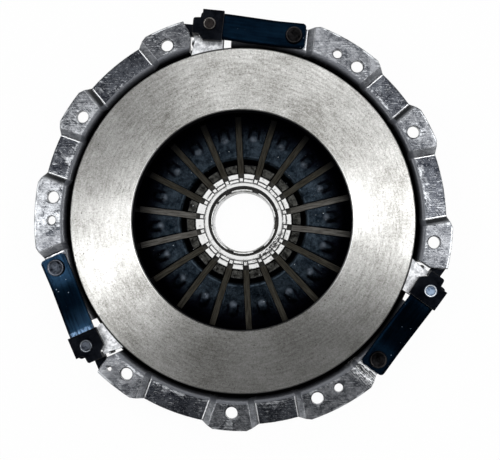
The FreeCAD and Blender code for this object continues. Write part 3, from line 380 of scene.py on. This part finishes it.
    # Painted shade: surfaces inside the cover painted near black.
    inside = g.larger(g.span(outwards, 0.05, -0.15), g.span(normal_z, 0.1, 0.5))
    inside = g.times(inside, g.span(z, -9.5 * MM, -14 * MM))
    colour = g.mix(inside, colour, (0.004, 0.004, 0.005))
    roughness = g.span(g.plus(g.times(fine, 0.5), g.times(scratches, 0.5)),
                       0.3, 0.7, 0.22, 0.42)
    roughness = g.blend_values(inside, roughness, 0.9)
    round_normal = g.add("ShaderNodeBevel", {"Radius": 2.2 * MM}, samples=8).outputs[0]
    normal = g.bump(g.plus(g.times(fine, 0.4), scratches), 0.35, 0.0003, round_normal)
    plain = g.larger(g.larger(slope, scuffed), g.times(fold, 0.85))
    return g.shader(colour, roughness, g.minus(1.0, g.times(plain, 0.85)), normal)


FIRST_FINGER = 3.0


def spring_steel():
    """Dark phosphated spring steel with a slight oily sheen; painted highlights at the bend, on the ribs and
    along edges; painted shade in a band before the tips, round the tips, beside the ribs and darkening
    outwards towards the fulcrum.
    """
    g = Graph("dark_spring_steel")
    radius, angle = g.polar()[:2]
    cloud = g.noise(60, 6, 0.7)
    fine = g.noise(600, 3, 0.7)
    blots = g.noise(300, 4, 0.7, distortion=0.5)
    tone = g.plus(g.times(cloud, 0.55), g.times(blots, 0.45))
    base = g.mix(g.span(tone, 0.36, 0.68), (0.0010, 0.0024, 0.0042), (0.023, 0.032, 0.042))
    along, across = turned(g, radius, angle, FIRST_FINGER, 20)
    aside = g.math("ABSOLUTE", across)
    # Painted highlight along the bend of the fingers.
    bend = g.times(g.span(radius, 66.0 * MM, 67.5 * MM), g.span(radius, 70.5 * MM, 68.5 * MM))
    base = g.mix(g.times(bend, g.span(g.noise(130, 4), 0.38, 0.6)), base, (0.035, 0.048, 0.062))
    # Painted shade: a near-black band on the steep part before the tips.
    band = g.times(g.span(radius, 60.3 * MM, 61.2 * MM), g.span(radius, 67.0 * MM, 65.5 * MM))
    base = g.mix(band, base, (0.0005, 0.0005, 0.0008))
    tip = g.span(radius, 61.2 * MM, 60.4 * MM)
    tip_tone = g.mix(g.span(g.noise(170, 5, 0.7), 0.36, 0.64), (0.004, 0.004, 0.0038), (0.050, 0.050, 0.046))
    base = g.mix(tip, base, tip_tone)
    # Painted shade: near black under the release ring and along the sides of the tips.
    rim = g.larger(g.span(radius, 53.2 * MM, 52.6 * MM),
                   g.times(tip, g.span(g.minus(g.times(along, 0.1763), aside),
                                       4.7 * MM, 3.9 * MM)))
    base = g.mix(rim, base, (0.0006, 0.0006, 0.0006))
    # Painted highlight: a pale spot on each pressed rib.
    rib_in = g.math("DIVIDE", g.minus(along, 88.5 * MM), 4.2 * MM)
    rib_side = g.math("DIVIDE", across, 4.6 * MM)
    painted_highlight = g.math("SQRT", g.plus(g.times(rib_in, rib_in), g.times(rib_side, rib_side)))
    painted_highlight = g.times(g.span(painted_highlight, 1.15, 0.1), g.span(g.noise(200, 3, 0.5), 0.2, 0.6))
    base = g.mix(g.times(painted_highlight, 0.80), base, (0.085, 0.100, 0.122))
    # Painted shade: near black beside each rib.
    flank = g.times(g.span(aside, 3.6 * MM, 4.6 * MM), g.span(aside, 7.4 * MM, 5.8 * MM))
    flank = g.times(flank, g.times(g.span(along, 86.5 * MM, 90 * MM), g.span(along, 104 * MM, 99 * MM)))
    base = g.mix(g.times(flank, 0.95), base, (0.0006, 0.0006, 0.0009))
    spots = g.times(g.span(g.cells(190), 0.085, 0.04), g.span(g.noise(40), 0.50, 0.60))
    base = g.mix(spots, base, (0.60, 0.63, 0.66))
    # Painted highlight along sharp edges.
    edge = g.times(g.edges(0.6 * MM), g.span(g.noise(40, 3), 0.50, 0.6))
    base = g.mix(g.times(edge, 0.4), base, (0.30, 0.31, 0.31))
    # Painted shade: darkening outwards towards the fulcrum, under the plate.
    painted_shade_outwards = g.span(radius, 78 * MM, 107 * MM)
    colour = g.mix(painted_shade_outwards, base, (0.0008, 0.0009, 0.0020))
    normal = g.bump(g.plus(fine, g.times(blots, 3.0)), 0.3, 0.0004)
    return g.shader(colour, g.span(fine, 0.3, 0.7, 0.28, 0.42), 1.0, normal)


def strap_steel():
    """Blued strip steel, with a painted paler blue highlight towards the ends of the left strap and across
    its bend, and painted shade where it runs under the bracket.
    """
    g = Graph("blued_steel")
    radius, angle = g.polar()[:2]
    x, y = g.split()[:2]
    heading, across = turned(g, radius, angle, STRAP_RIVET[1] + STRAP_TURN)
    run = g.plus(across, STRAP_RIVET[0] * math.sin(math.radians(STRAP_TURN)) * MM)
    streaks = g.noise(1.0, 4, 0.7, g.join(g.times(run, 30), g.times(heading, 420), 0.0))
    cloud = g.plus(g.times(g.noise(26, 5, 0.6), 0.5), g.times(streaks, 0.5))
    fine = g.noise(500, 3, 0.7)
    colour = g.mix(g.span(cloud, 0.36, 0.64), (0.0004, 0.0018, 0.0045), (0.0017, 0.0062, 0.0130))
    # Painted highlight: paler blue towards the ends of the left strap.
    left = g.times(g.span(x, -60 * MM, -100 * MM), g.span(y, 40 * MM, 0.0))
    ends = g.larger(g.span(run, 30 * MM, 4 * MM), g.span(run, 42 * MM, 66 * MM))
    painted_highlight = g.times(g.times(left, ends), g.span(cloud, 0.3, 0.62))
    colour = g.mix(g.times(painted_highlight, 0.75), colour, (0.013, 0.034, 0.066))
    # Painted highlight across the bend of the left strap, broken by a mottle.
    bend = g.times(g.span(run, 68.0 * MM, 70.5 * MM), g.span(run, 76.5 * MM, 73.0 * MM))
    bend = g.times(bend, left)
    highlight_mottle = g.plus(g.times(g.noise(330, 4, 0.7), 0.5), g.times(streaks, 0.5))
    colour = g.mix(g.times(bend, g.span(highlight_mottle, 0.42, 0.58, 0.05, 0.75)), colour, (0.14, 0.22, 0.34))
    # Painted shade: near black towards the lug end, where the strap runs under the bracket.
    colour = g.mix(g.span(run, 80 * MM, 84 * MM), colour, (0.0010, 0.0013, 0.0020))
    spots = g.times(g.span(g.cells(150), 0.10, 0.05), g.span(g.noise(33), 0.50, 0.60))
    colour = g.mix(g.times(spots, 0.7), colour, (0.30, 0.38, 0.48))
    # Painted highlight along the leaf edges.
    colour = g.mix(g.times(g.edges(0.5 * MM), 0.4), colour, (0.02, 0.045, 0.075))
    normal = g.bump(fine, 0.15, 0.0002)
    return g.shader(colour, g.span(fine, 0.3, 0.7, 0.30, 0.42), 1.0, normal)


def bracket_steel():
    g = Graph("black_steel")
    cloud = g.noise(70, 6, 0.7)
    fine = g.noise(700, 3, 0.7)
    colour = g.mix(g.span(cloud, 0.3, 0.7), (0.0010, 0.0013, 0.0022), (0.0060, 0.0070, 0.0095))
    # Painted highlight along sharp edges.
    colour = g.mix(g.times(g.edges(0.7 * MM), 0.45), colour, (0.09, 0.085, 0.08))
    normal = g.bump(fine, 0.3, 0.0003)
    return g.shader(colour, g.span(fine, 0.3, 0.7, 0.40, 0.6), 1.0, normal)


def rivet_steel(name, dark, light, edge_colour, ring):
    """Rivet head with a painted highlight on a rolled ring at a height and a painted shade outline under it.
    """
    g = Graph(name)
    height = g.split()[2]
    cloud = g.noise(220, 6, 0.7, distortion=0.6)
    colour = g.mix(g.span(cloud, 0.36, 0.64), dark, light)
    # Painted highlight on the rolled ring.
    rim_highlight = g.times(g.span(height, (ring - 0.3) * MM, (ring - 0.15) * MM),
                     g.span(g.noise(150, 3), 0.38, 0.5, 0.4, 1.0))
    colour = g.mix(rim_highlight, colour, edge_colour)
    # Painted shade: a near-black outline below the ring.
    colour = g.mix(g.span(height, (ring - 1.3) * MM, (ring - 1.5) * MM), colour, (0.002, 0.002, 0.002))
    normal = g.bump(g.noise(500, 4, 0.7), 0.4, 0.0003)
    return g.shader(colour, g.span(cloud, 0.3, 0.7, 0.34, 0.5), 1.0, normal)


def bright_steel(name, colour_low, colour_high, roughness, metallic, grain=120):
    """Bright machined or plated steel."""
    g = Graph(name)
    radius, angle, z = g.polar()
    rings = g.noise(1.0, 3, 0.6, g.join(g.times(radius, 1500), g.times(angle, 6), z))
    cloud = g.noise(grain, 5, 0.7)
    tone = g.plus(g.times(rings, 0.4), g.times(cloud, 0.6))
    colour = g.mix(g.span(tone, 0.38, 0.58), colour_low, colour_high)
    # Painted highlight along sharp edges.
    colour = g.mix(g.times(g.edges(0.5 * MM), 0.3), colour, (0.15, 0.15, 0.15))
    normal = g.bump(tone, 0.2, 0.0002)
    return g.shader(colour, g.span(tone, 0.3, 0.7, roughness, roughness + 0.12), metallic, normal)


def hub_steel(name, pale, roughness=0.25, metallic=0.05):
    """Bright machined hub parts: white tabs in two rows, with painted shade in the joints and gaps between
    them, in a groove and beside the wire, and a bore wall painted grey above and below as shade.
    """
    g = Graph(name)
    radius, angle, z = g.polar()
    x, y = g.split()[:2]
    away = g.plus(radius, g.times(g.minus(g.noise(260, 3), 0.5), 1.1 * MM))

    def band(source, low, high, soft=0.16):
        return g.times(g.span(source, (low - soft) * MM, (low + soft) * MM),
                       g.span(source, (high + soft) * MM, (high - soft) * MM))

    beside_slot = g.math("ABSOLUTE", turned(g, radius, angle, FIRST_FINGER + 10, 20)[1])
    left_side = g.span(x, -36 * MM, -41 * MM)
    broken = g.span(g.noise(110, 3, 0.6), 0.34, 0.44)
    tone = g.plus(g.times(g.noise(420, 4, 0.7), 0.5), g.times(g.noise(150, 4), 0.5))
    colour = g.mix(g.span(tone, 0.36, 0.46), (0.45, 0.45, 0.43), pale)
    # Painted shadow: a dark band at the root of each tab, left out on the lit left side.
    rows = g.times(band(away, 45.0, 46.4, 0.1), g.span(beside_slot, 2.4 * MM, 2.8 * MM))
    rows = g.times(rows, g.minus(1.0, left_side))
    # Painted shade in the gaps: dark lines beside the slots, at the ends of the squares, at the joint and
    # round the outer rim.
    sides = g.times(band(beside_slot, 1.65, 2.95, 0.1), band(away, 42.6, 47.6))
    ends = g.times(g.span(beside_slot, 2.3 * MM, 2.0 * MM),
                   g.larger(band(away, 42.7, 43.3), band(away, 46.6, 47.6)))
    joint = g.times(band(away, 41.7, 42.6, 0.1), broken)
    rim = g.times(g.span(away, 50.6 * MM, 51.1 * MM), 0.7)
    # Painted shade: a black groove, wider at the top.
    groove = band(g.minus(radius, g.times(y, 0.016)), 34.2, 37.7, 0.10)
    dark = g.larger(g.larger(rows, sides), g.larger(ends, joint))
    dark = g.larger(g.larger(dark, rim), groove)
    corner = g.times(g.span(g.plus(x, g.times(y, -1.0)), 47 * MM, 54 * MM),
                     g.times(g.span(radius, 37.5 * MM, 38.5 * MM), g.span(radius, 45 * MM, 43 * MM)))
    corner = g.times(corner, g.span(g.noise(330, 3, 0.6, distortion=1.0), 0.50, 0.54))
    dark = g.larger(dark, g.times(corner, g.span(y, -8 * MM, -16 * MM)))
    # Painted shade: a dark line along the inner edge of the wire.
    inner = g.times(g.span(radius, 33.5 * MM, 33.2 * MM), g.span(z, -39.5 * MM, -38.5 * MM))
    dark = g.larger(dark, inner)
    colour = g.mix(dark, colour, (0.003, 0.003, 0.003))
    # Painted shade: the bore wall white, grey towards the top and bottom.
    bore = g.times(g.span(radius, 34.2 * MM, 33.9 * MM), g.span(z, -38.5 * MM, -40.5 * MM))
    upright = g.span(g.math("ABSOLUTE", y), 17 * MM, 28 * MM)
    wall = g.mix(g.times(upright, g.span(g.noise(90, 4), 0.3, 0.6)), (0.95, 0.95, 0.95), (0.22, 0.22, 0.20))
    colour = g.mix(bore, colour, wall)
    normal = g.bump(tone, 0.2, 0.0002)
    return g.shader(colour, g.span(tone, 0.3, 0.7, roughness, roughness + 0.12), metallic, normal)


def wire_steel():
    """Bright wire, with painted shade along its sides and where its ends and bends lie."""
    g = Graph("bright_wire")
    radius, angle = g.polar()[:2]
    # Painted shade: dark stretches where the wire's ends and bends lie, and dark along its inner and outer
    # sides.
    arcs = None
    for low, high in ((-176, -171), (-122, -106), (-74, -48), (-6, 10), (60, 76), (110, 126), (139, 148)):
        part = g.times(g.span(angle, math.radians(low), math.radians(low + 3)),
                       g.span(angle, math.radians(high), math.radians(high - 3)))
        arcs = g.larger(arcs, part) if arcs else part
    edge = g.larger(g.span(radius, 33.3 * MM, 33.1 * MM), g.span(radius, 34.4 * MM, 34.6 * MM))
    dark = g.larger(arcs, edge)
    pale = g.mix(g.span(g.noise(300, 4), 0.35, 0.5), (0.6, 0.6, 0.58), (0.98, 0.98, 0.97))
    colour = g.mix(dark, pale, (0.004, 0.004, 0.004))
    normal = g.bump(g.noise(500, 3), 0.15, 0.0002)
    return g.shader(colour, g.span(g.noise(300, 3), 0.3, 0.7, 0.2, 0.32), 0.05, normal)


iron = friction_iron()
steel = cover_steel()
dark_spring = spring_steel()
blued = strap_steel()
black = bracket_steel()
rivet_dark = rivet_steel(
    "dark_rivet", (0.0012, 0.0012, 0.0014), (0.009, 0.0085, 0.009), (0.026, 0.024, 0.024), -1.0)
rivet_blued = rivet_steel(
    "blued_rivet", (0.003, 0.004, 0.007), (0.075, 0.085, 0.105), (0.16, 0.17, 0.20), -1.0)
rivet_brown = rivet_steel(
    "brown_rivet", (0.006, 0.005, 0.005), (0.022, 0.019, 0.018), (0.15, 0.14, 0.13), 12.1)
rivet_grey = rivet_steel(
    "grey_rivet", (0.008, 0.010, 0.014), (0.08, 0.09, 0.11), (0.26, 0.28, 0.31), 12.1)
rivet_pale = rivet_steel(
    "pale_rivet", (0.035, 0.05, 0.08), (0.24, 0.31, 0.41), (0.75, 0.79, 0.84), 12.1)
machined = hub_steel("machined_steel", (0.98, 0.98, 0.97))
plated = hub_steel("plated_steel", (0.98, 0.98, 0.97), 0.3)
oily = bright_steel("oily_steel", (0.010, 0.010, 0.009), (0.04, 0.038, 0.034), 0.35, 0.8)
wire = wire_steel()

paint("cover", steel)
paint("pressure_plate", iron)
paint("pivot_ring", dark_spring)
for pack in (1, 2, 3):
    paint(f"lift_stop_bracket_{pack}", black)
paint("thrust_sleeve", machined)
paint("snap_ring", wire)
for name in ("wave_washer", "rear_thrust_washer", "rear_lock_ring"):
    paint(name, oily)
for name in ("tab_retainer", "inner_tab_ring"):
    paint(name, plated)

# Pieces.


def make_piece(name, build, material, body, smooth=30):
    """A mesh piece from a bmesh builder, shaded smooth up to an angle, riding on a body."""
    shape = bmesh.new()
    build(shape)
    bmesh.ops.recalc_face_normals(shape, faces=shape.faces)
    for face in shape.faces:
        face.smooth = True
    for edge in shape.edges:
        edge.smooth = len(edge.link_faces) == 2 and edge.calc_face_angle(0) < math.radians(smooth)
    mesh = bpy.data.meshes.new(name)
    shape.to_mesh(mesh)
    shape.free()
    mesh.materials.append(material)
    piece = bpy.data.objects.new(name, mesh)
    scene.collection.objects.link(piece)
    if body:
        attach(piece, body)
    return piece


def closed_slab(shape, rows, columns, top, bottom):
    """A slab between two grids of points: top(i, j) and bottom(i, j)."""
    upper = [[shape.verts.new(top(i, j)) for j in range(columns)] for i in range(rows)]
    lower = [[shape.verts.new(bottom(i, j)) for j in range(columns)] for i in range(rows)]
    for i in range(rows - 1):
        for j in range(columns - 1):
            shape.faces.new((upper[i][j], upper[i][j + 1], upper[i + 1][j + 1], upper[i + 1][j]))
            shape.faces.new((lower[i][j], lower[i + 1][j], lower[i + 1][j + 1], lower[i][j + 1]))
    for i in range(rows - 1):
        for j in (0, columns - 1):
            shape.faces.new((upper[i][j], upper[i + 1][j], lower[i + 1][j], lower[i][j]))
    for j in range(columns - 1):
        for i in (0, rows - 1):
            shape.faces.new((upper[i][j], lower[i][j], lower[i][j + 1], upper[i][j + 1]))


def lathe(shape, profile, centre=(0, 0), steps=64):
    """Turns (radius, height) points round a vertical axis; a radius of 0 closes the end."""
    rings = []
    for radius, height in profile:
        if radius == 0:
            rings.append([shape.verts.new((centre[0] * MM, centre[1] * MM, height * MM))])
            continue
        ring = []
        for count in range(steps):
            turn = 2 * math.pi * count / steps
            ring.append(shape.verts.new(((centre[0] + radius * math.cos(turn)) * MM,
                                         (centre[1] + radius * math.sin(turn)) * MM, height * MM)))
        rings.append(ring)
    for first, second in zip(rings, rings[1:]):
        for count in range(steps):
            ahead = (count + 1) % steps
            corners = [first[count % len(first)], first[ahead % len(first)],
                       second[ahead % len(second)], second[count % len(second)]]
            corners = list(dict.fromkeys(corners))
            shape.faces.new(corners)


def ease(share):
    share = min(1.0, max(0.0, share))
    return share * share * (3 - 2 * share)


# Diaphragm spring: one piece for each finger, shaped with a bend near its tip, reaching from under the
# release ring out to the cover.
FINGERS = 18
SLOT_HALF = 3.05
EYE_RADIUS, EYE_PLACE = 6.0, 125.0
SPRING_SHEET = 4.0


def spring_height(radius):
    cone = -33.0 - (radius - 68.5) * 9.0 / 97.5
    if radius < 61.0:
        return -41.3
    if radius < 70.0:
        return -41.3 + (cone + 41.3) * ease((radius - 61.0) / 8.5)
    return cone


def finger_half_width(radius):
    gap = SLOT_HALF
    if abs(radius - EYE_PLACE) < EYE_RADIUS:
        gap = max(gap if radius < EYE_PLACE else 0.0, math.sqrt(EYE_RADIUS ** 2 - (radius - EYE_PLACE) ** 2))
    elif radius > EYE_PLACE:
        gap = 0.0
    return radius * math.sin(math.radians(180 / FINGERS)) - gap


def raised_rib(radius, aside):
    """Height of the pressed rib, longest along the finger."""
    across = aside / 6.0
    along = (radius - 93.5) / (8.5 if radius < 93.5 else 10.5)
    distance = math.sqrt(across ** 2 + along ** 2)
    return 1.25 * ease((1.0 - distance) / 0.75)


radii = [46.0, 46.3, 47.0, 49.0, 52.0, 55.0, 58.0, 60.0]
radii += [61.0 + 0.7 * count for count in range(14)]
radii += [71.0 + 1.6 * count for count in range(9)]
radii += [85.0 + 1.0 * count for count in range(19)]
radii += [105.0, 109.0, 113.0, 117.0, 119.0, 119.6, 121.0, 123.0, 125.0, 127.0, 129.0, 130.4, 131.0]
radii += [140.0, 152.0, 164.0, 166.0]
shares = [0.0, 0.07, 0.14, 0.21, 0.28, 0.36, 0.45, 0.6, 0.8, 0.94]
shares = [-share for share in reversed(shares[1:])] + shares
for finger in range(FINGERS):
    angle = math.radians(FIRST_FINGER + finger * 360 / FINGERS)
    ahead = Vector((math.cos(angle), math.sin(angle), 0))
    left = Vector((-math.sin(angle), math.cos(angle), 0))

    def finger_point(row, column, sheet):
        radius = radii[row]
        half = finger_half_width(radius)
        if column == 0 or column == len(shares) + 1:
            aside = half * (1 if column else -1)
            lowered = 0.45
        else:
            aside = (half - 0.5) * shares[column - 1] / 0.94
            lowered = 0.0
        if row == 0:
            lowered = 0.45
        height = spring_height(radius) + raised_rib(radius, aside) - sheet
        height += lowered if sheet else -lowered
        if radius > 160:
            height = min(height, spring_height(radius) - sheet)
        reach_out = math.sqrt(max(0.0, radius ** 2 - aside ** 2))
        return (ahead * reach_out + left * aside) * MM + Vector((0, 0, height * MM))

    piece = make_piece(
        f"spring_finger_{finger + 1}",
        lambda shape: closed_slab(
            shape, len(radii), len(shares) + 2,
            lambda i, j: finger_point(i, j, 0.0), lambda i, j: finger_point(i, j, SPRING_SHEET),
        ),
        dark_spring, None, 50)
    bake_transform(piece)
    if finger == 0:
        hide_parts("diaphragm_spring")

# Straps: three packs of three leaves between the cover and the lugs.


def strap_frame(pack):
    """Start point, direction along the strap and direction inwards, in millimetres."""
    angle = math.radians(STRAP_RIVET[1] + 120 * pack)
    heading = math.radians(STRAP_RIVET[1] + 90 + STRAP_TURN + 120 * pack)
    start = Vector((STRAP_RIVET[0] * math.cos(angle), STRAP_RIVET[0] * math.sin(angle), 0))
    along = Vector((math.cos(heading), math.sin(heading), 0))
    return start, along, Vector((-along.y, along.x, 0))


def leaf_height(distance):
    """Rise of a leaf from the cover to the lug, with soft bends."""
    low, high, soft = *STRAP_BENDS, 5.0
    share = (distance - low) / (high - low)
    width = soft / (high - low)

    def ramp(value):
        if value < -width:
            return 0.0
        if value < width:
            return (value + width) ** 2 / (4 * width)
        return value

    return -8.0 + 9.0 * (ramp(share) - ramp(share - 1))


def leaf_half(distance, low, high, corner):
    inside = min(distance - low, high - distance)
    if inside >= corner:
        return STRAP_HALF
    return STRAP_HALF - corner + math.sqrt(max(0.0, corner ** 2 - (corner - inside) ** 2))


leaf_shares = [-1.0, -0.985, -0.7, -0.35, 0.0, 0.35, 0.7, 0.985, 1.0]
for pack in range(3):
    start, along, inwards = strap_frame(pack)
    for leaf in range(3):
        low, high = -12.0, STRAP_LENGTH + 10.5
        places = [low, low + 0.15, low + 0.5, low + 1.1, low + 2.0, low + 3.0, low + 4.0]
        places += [low + 4 + (high - low - 8) * count / 60 for count in range(1, 60)]
        places += [high - 4.0, high - 3.0, high - 2.0, high - 1.1, high - 0.5, high - 0.15, high]

        def leaf_point(row, column, sheet):
            distance = places[row]
            share = leaf_shares[column]
            rounded = 0.22 if abs(share) == 1.0 or row in (0, len(places) - 1) else 0.0
            height = leaf_height(distance) + LEAF * (leaf + 1) - sheet + (rounded if sheet else -rounded)
            aside = leaf_half(distance, low, high, 4.0) * share
            return (start + along * distance + inwards * aside) * MM + Vector((0, 0, height * MM))

        piece = make_piece(
            f"strap_leaf_{pack + 1}_{leaf + 1}",
            lambda shape: closed_slab(
                shape, len(places), len(leaf_shares),
                lambda i, j: leaf_point(i, j, 0.0), lambda i, j: leaf_point(i, j, LEAF),
            ),
            blued, None, 50)
        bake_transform(piece)
        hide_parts(f"strap_{pack + 1}_leaf_{leaf + 1}")

# Rivets of the straps: turned heads with a rolled edge.
for pack in range(3):
    start, along, inwards = strap_frame(pack)
    seat = -8.0 + 3 * LEAF
    back = -13.5
    head = [(0, seat + 2.7), (6.3, seat + 2.75), (7.3, seat + 3.3), (7.9, seat + 3.4), (8.5, seat + 3.0),
            (8.9, seat + 2.2), (9.0, seat), (5.5, seat), (5.5, back), (9.0, back), (9.0, back - 2.2),
            (8.4, back - 3.1), (7.2, back - 3.4), (0, back - 3.4)]
    piece = make_piece(f"cover_rivet_{pack + 1}", lambda shape: lathe(shape, head, (start.x, start.y)),
                       (rivet_dark, rivet_blued, rivet_dark)[pack], "cover", 35)
    if pack == 0:
        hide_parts("strap_cover_rivets")
    centre = start + along * STRAP_LENGTH
    seat = 1.0 + 3 * LEAF + 5.5
    back = -15.0
    end_face = [(0, seat + 1.3), (4.5, seat + 1.35), (5.1, seat + 1.9), (5.7, seat + 2.0), (6.3, seat + 1.6),
                (6.6, seat + 0.7), (6.7, seat), (5.5, seat), (5.5, back), (9.5, back), (9.5, back - 2.3),
                (8.8, back - 3.2), (7.6, back - 3.5), (0, back - 3.5)]
    piece = make_piece(f"lug_rivet_{pack + 1}", lambda shape: lathe(shape, end_face, (centre.x, centre.y)),
                       (rivet_brown, rivet_grey, rivet_pale)[pack], "pressure_plate", 35)
    if pack == 0:
        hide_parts("strap_lug_rivets")


# Floor, light and camera.


def stage_mesh(name, corners, faces, material):
    mesh = bpy.data.meshes.new(name)
    mesh.from_pydata(corners, [], faces)
    mesh.materials.append(material)
    thing = bpy.data.objects.new(name, mesh)
    scene.collection.objects.link(thing)
    return thing


def shown_white(name, colour, share):
    """Pale floor: shown white to the camera and in reflections, and still shaded by the object."""
    g = Graph(name)
    path = g.add("ShaderNodeLightPath")
    seen = g.larger(path.outputs["Is Camera Ray"],
                    g.larger(path.outputs["Is Glossy Ray"], path.outputs["Is Transmission Ray"]))
    shade = g.add("ShaderNodeBsdfDiffuse", {"Color": colour}).outputs[0]
    white = g.add("ShaderNodeEmission", {"Color": (1, 1, 1), "Strength": 1.0}).outputs[0]
    mixed = g.add("ShaderNodeMixShader", {0: g.times(seen, share), 1: shade, 2: white})
    g.feed(g.output.inputs["Surface"], mixed.outputs[0])
    return g.material


floor_level = cad_box[0][2]
reach = 4.0
floor_corners = [(x * reach, y * reach, floor_level) for x, y in ((-1, -1), (1, -1), (1, 1), (-1, 1))]
stage_mesh("floor", floor_corners, [(0, 1, 2, 3)], shown_white("pale_floor", (0.9, 0.9, 0.9), 0.97))

# Stage board under the part, painted as the floor in the part's shade.
board = Graph("board_painted_as_floor_shade")
board_radius, board_angle = board.polar()[:2]
board_y = board.split()[1]
streak = board.noise(1.0, 4, 0.65, board.join(board.times(board_radius, 70),
                                              board.times(board_angle, 55), 0.0))
# Painted light: the board lighter towards the left and right.
flat = board.span(board.math("ABSOLUTE", board.math("DIVIDE", board_y, board_radius)), 0.45, 0.15)
board_dark = board.mix(flat, (0.022, 0.020, 0.016), (0.050, 0.047, 0.042))
board_light = board.mix(flat, (0.062, 0.058, 0.047), (0.150, 0.145, 0.135))
board_colour = board.mix(board.span(streak, 0.32, 0.68), board_dark, board_light)
# Painted shade: fading to black outwards, sooner at the top.
fade = board.span(board.plus(board_radius, board.times(board_y, 0.06)), 94 * MM, 122 * MM)
board_colour = board.mix(fade, board_colour, (0.004, 0.004, 0.004))
# The board glows as painted light, though it is no lamp.
board_glow = board.add("ShaderNodeEmission", {"Color": board_colour, "Strength": 0.6}).outputs[0]
board_plain = board.add("ShaderNodeBsdfDiffuse", {"Color": board_colour}).outputs[0]
board_both = board.add("ShaderNodeAddShader", {0: board_glow, 1: board_plain})
board.feed(board.output.inputs["Surface"], board_both.outputs[0])
BOARD_RADII = (0.0405, 0.124)
BOARD_LIFT = 0.0004
steps = 96
ring_points = []
for count in range(steps):
    turn = 2 * math.pi * count / steps
    for radius in BOARD_RADII:
        ring_points.append((radius * math.cos(turn), radius * math.sin(turn), floor_level + BOARD_LIFT))
ring_faces = [(2 * k, 2 * k + 1, (2 * k + 3) % (2 * steps), (2 * k + 2) % (2 * steps)) for k in range(steps)]
stage_mesh("board_under_the_part", ring_points, ring_faces, board.material)


def lamp(name, place, target, width, height, power):
    data = bpy.data.lights.new(name, "AREA")
    data.shape = "RECTANGLE"
    data.size = width
    data.size_y = height
    data.energy = power
    thing = bpy.data.objects.new(name, data)
    thing.location = place
    aim = Vector(target) - Vector(place)
    thing.rotation_euler = aim.to_track_quat("-Z", "Y").to_euler()
    scene.collection.objects.link(thing)
    return thing


lamp("softbox_top", (0.0, 0.88, 1.65), (0, 0.05, 0), 1.2, 0.8, 7.8)
lamp("box_right", (0.76, 0.10, 1.68), (0, 0, 0), 0.5, 0.7, 9.3)
lamp("box_left", (-0.77, -0.15, 1.68), (0, 0, 0), 0.5, 0.7, 8.0)

world = bpy.data.worlds.new("studio")
scene.world = world
world.use_nodes = True
tree = world.node_tree
tree.nodes.clear()


def world_node(kind, inputs, **settings):
    node = tree.nodes.new(kind)
    for key, setting in settings.items():
        setattr(node, key, setting)
    for key, source in inputs.items():
        if isinstance(source, bpy.types.NodeSocket):
            tree.links.new(source, node.inputs[key])
        else:
            node.inputs[key].default_value = source
    return node


sky_place = tree.nodes.new("ShaderNodeTexCoord").outputs["Generated"]
direction = world_node("ShaderNodeSeparateXYZ", {0: sky_place})
low_down = world_node("ShaderNodeMapRange", {
    "Value": direction.outputs[2], "From Min": 0.0, "From Max": 0.85, "To Min": 0.95, "To Max": 0.0,
}).outputs["Result"]
overhead = world_node("ShaderNodeMapRange", {
    "Value": direction.outputs[2], "From Min": 0.5, "From Max": 0.9, "To Min": 0.0, "To Max": 1.0,
}, interpolation_type="SMOOTHSTEP").outputs["Result"]
behind = world_node("ShaderNodeMapRange", {
    "Value": direction.outputs[1], "From Min": -0.35, "From Max": 0.35, "To Min": 0.02, "To Max": 0.30,
}).outputs["Result"]
level = world_node("ShaderNodeMath", {
    0: overhead, 1: behind, 2: low_down,
}, operation="MULTIPLY_ADD").outputs[0]
sky = world_node("ShaderNodeBackground", {0: (0.96, 0.98, 1.0, 1), 1: level})
seen_sky = world_node("ShaderNodeBackground", {0: (1, 1, 1, 1), 1: 1.0})
path = tree.nodes.new("ShaderNodeLightPath")
either = world_node("ShaderNodeMixShader", {
    0: path.outputs["Is Camera Ray"], 1: sky.outputs[0], 2: seen_sky.outputs[0],
})
world_node("ShaderNodeOutputWorld", {0: either.outputs[0]})

# Camera, fitted to the bolt holes: focal length in pixels of a picture 500 pixels wide, place and turns.
SENSOR = 36
PICTURE_WIDTH = 500
FOCAL_PIXELS = 921.3
CAMERA_PLACE = (0.0469, -0.0486, 0.9442)
CAMERA_TURNS = (2.311, 2.328, 0.012)
camera_data = bpy.data.cameras.new("camera")
camera_data.sensor_width = SENSOR
camera_data.lens = FOCAL_PIXELS / PICTURE_WIDTH * SENSOR
camera = bpy.data.objects.new("camera", camera_data)
camera.location = CAMERA_PLACE
camera.rotation_euler = [math.radians(turn) for turn in CAMERA_TURNS]
scene.collection.objects.link(camera)
scene.camera = camera
scene.view_settings.view_transform = "Standard"
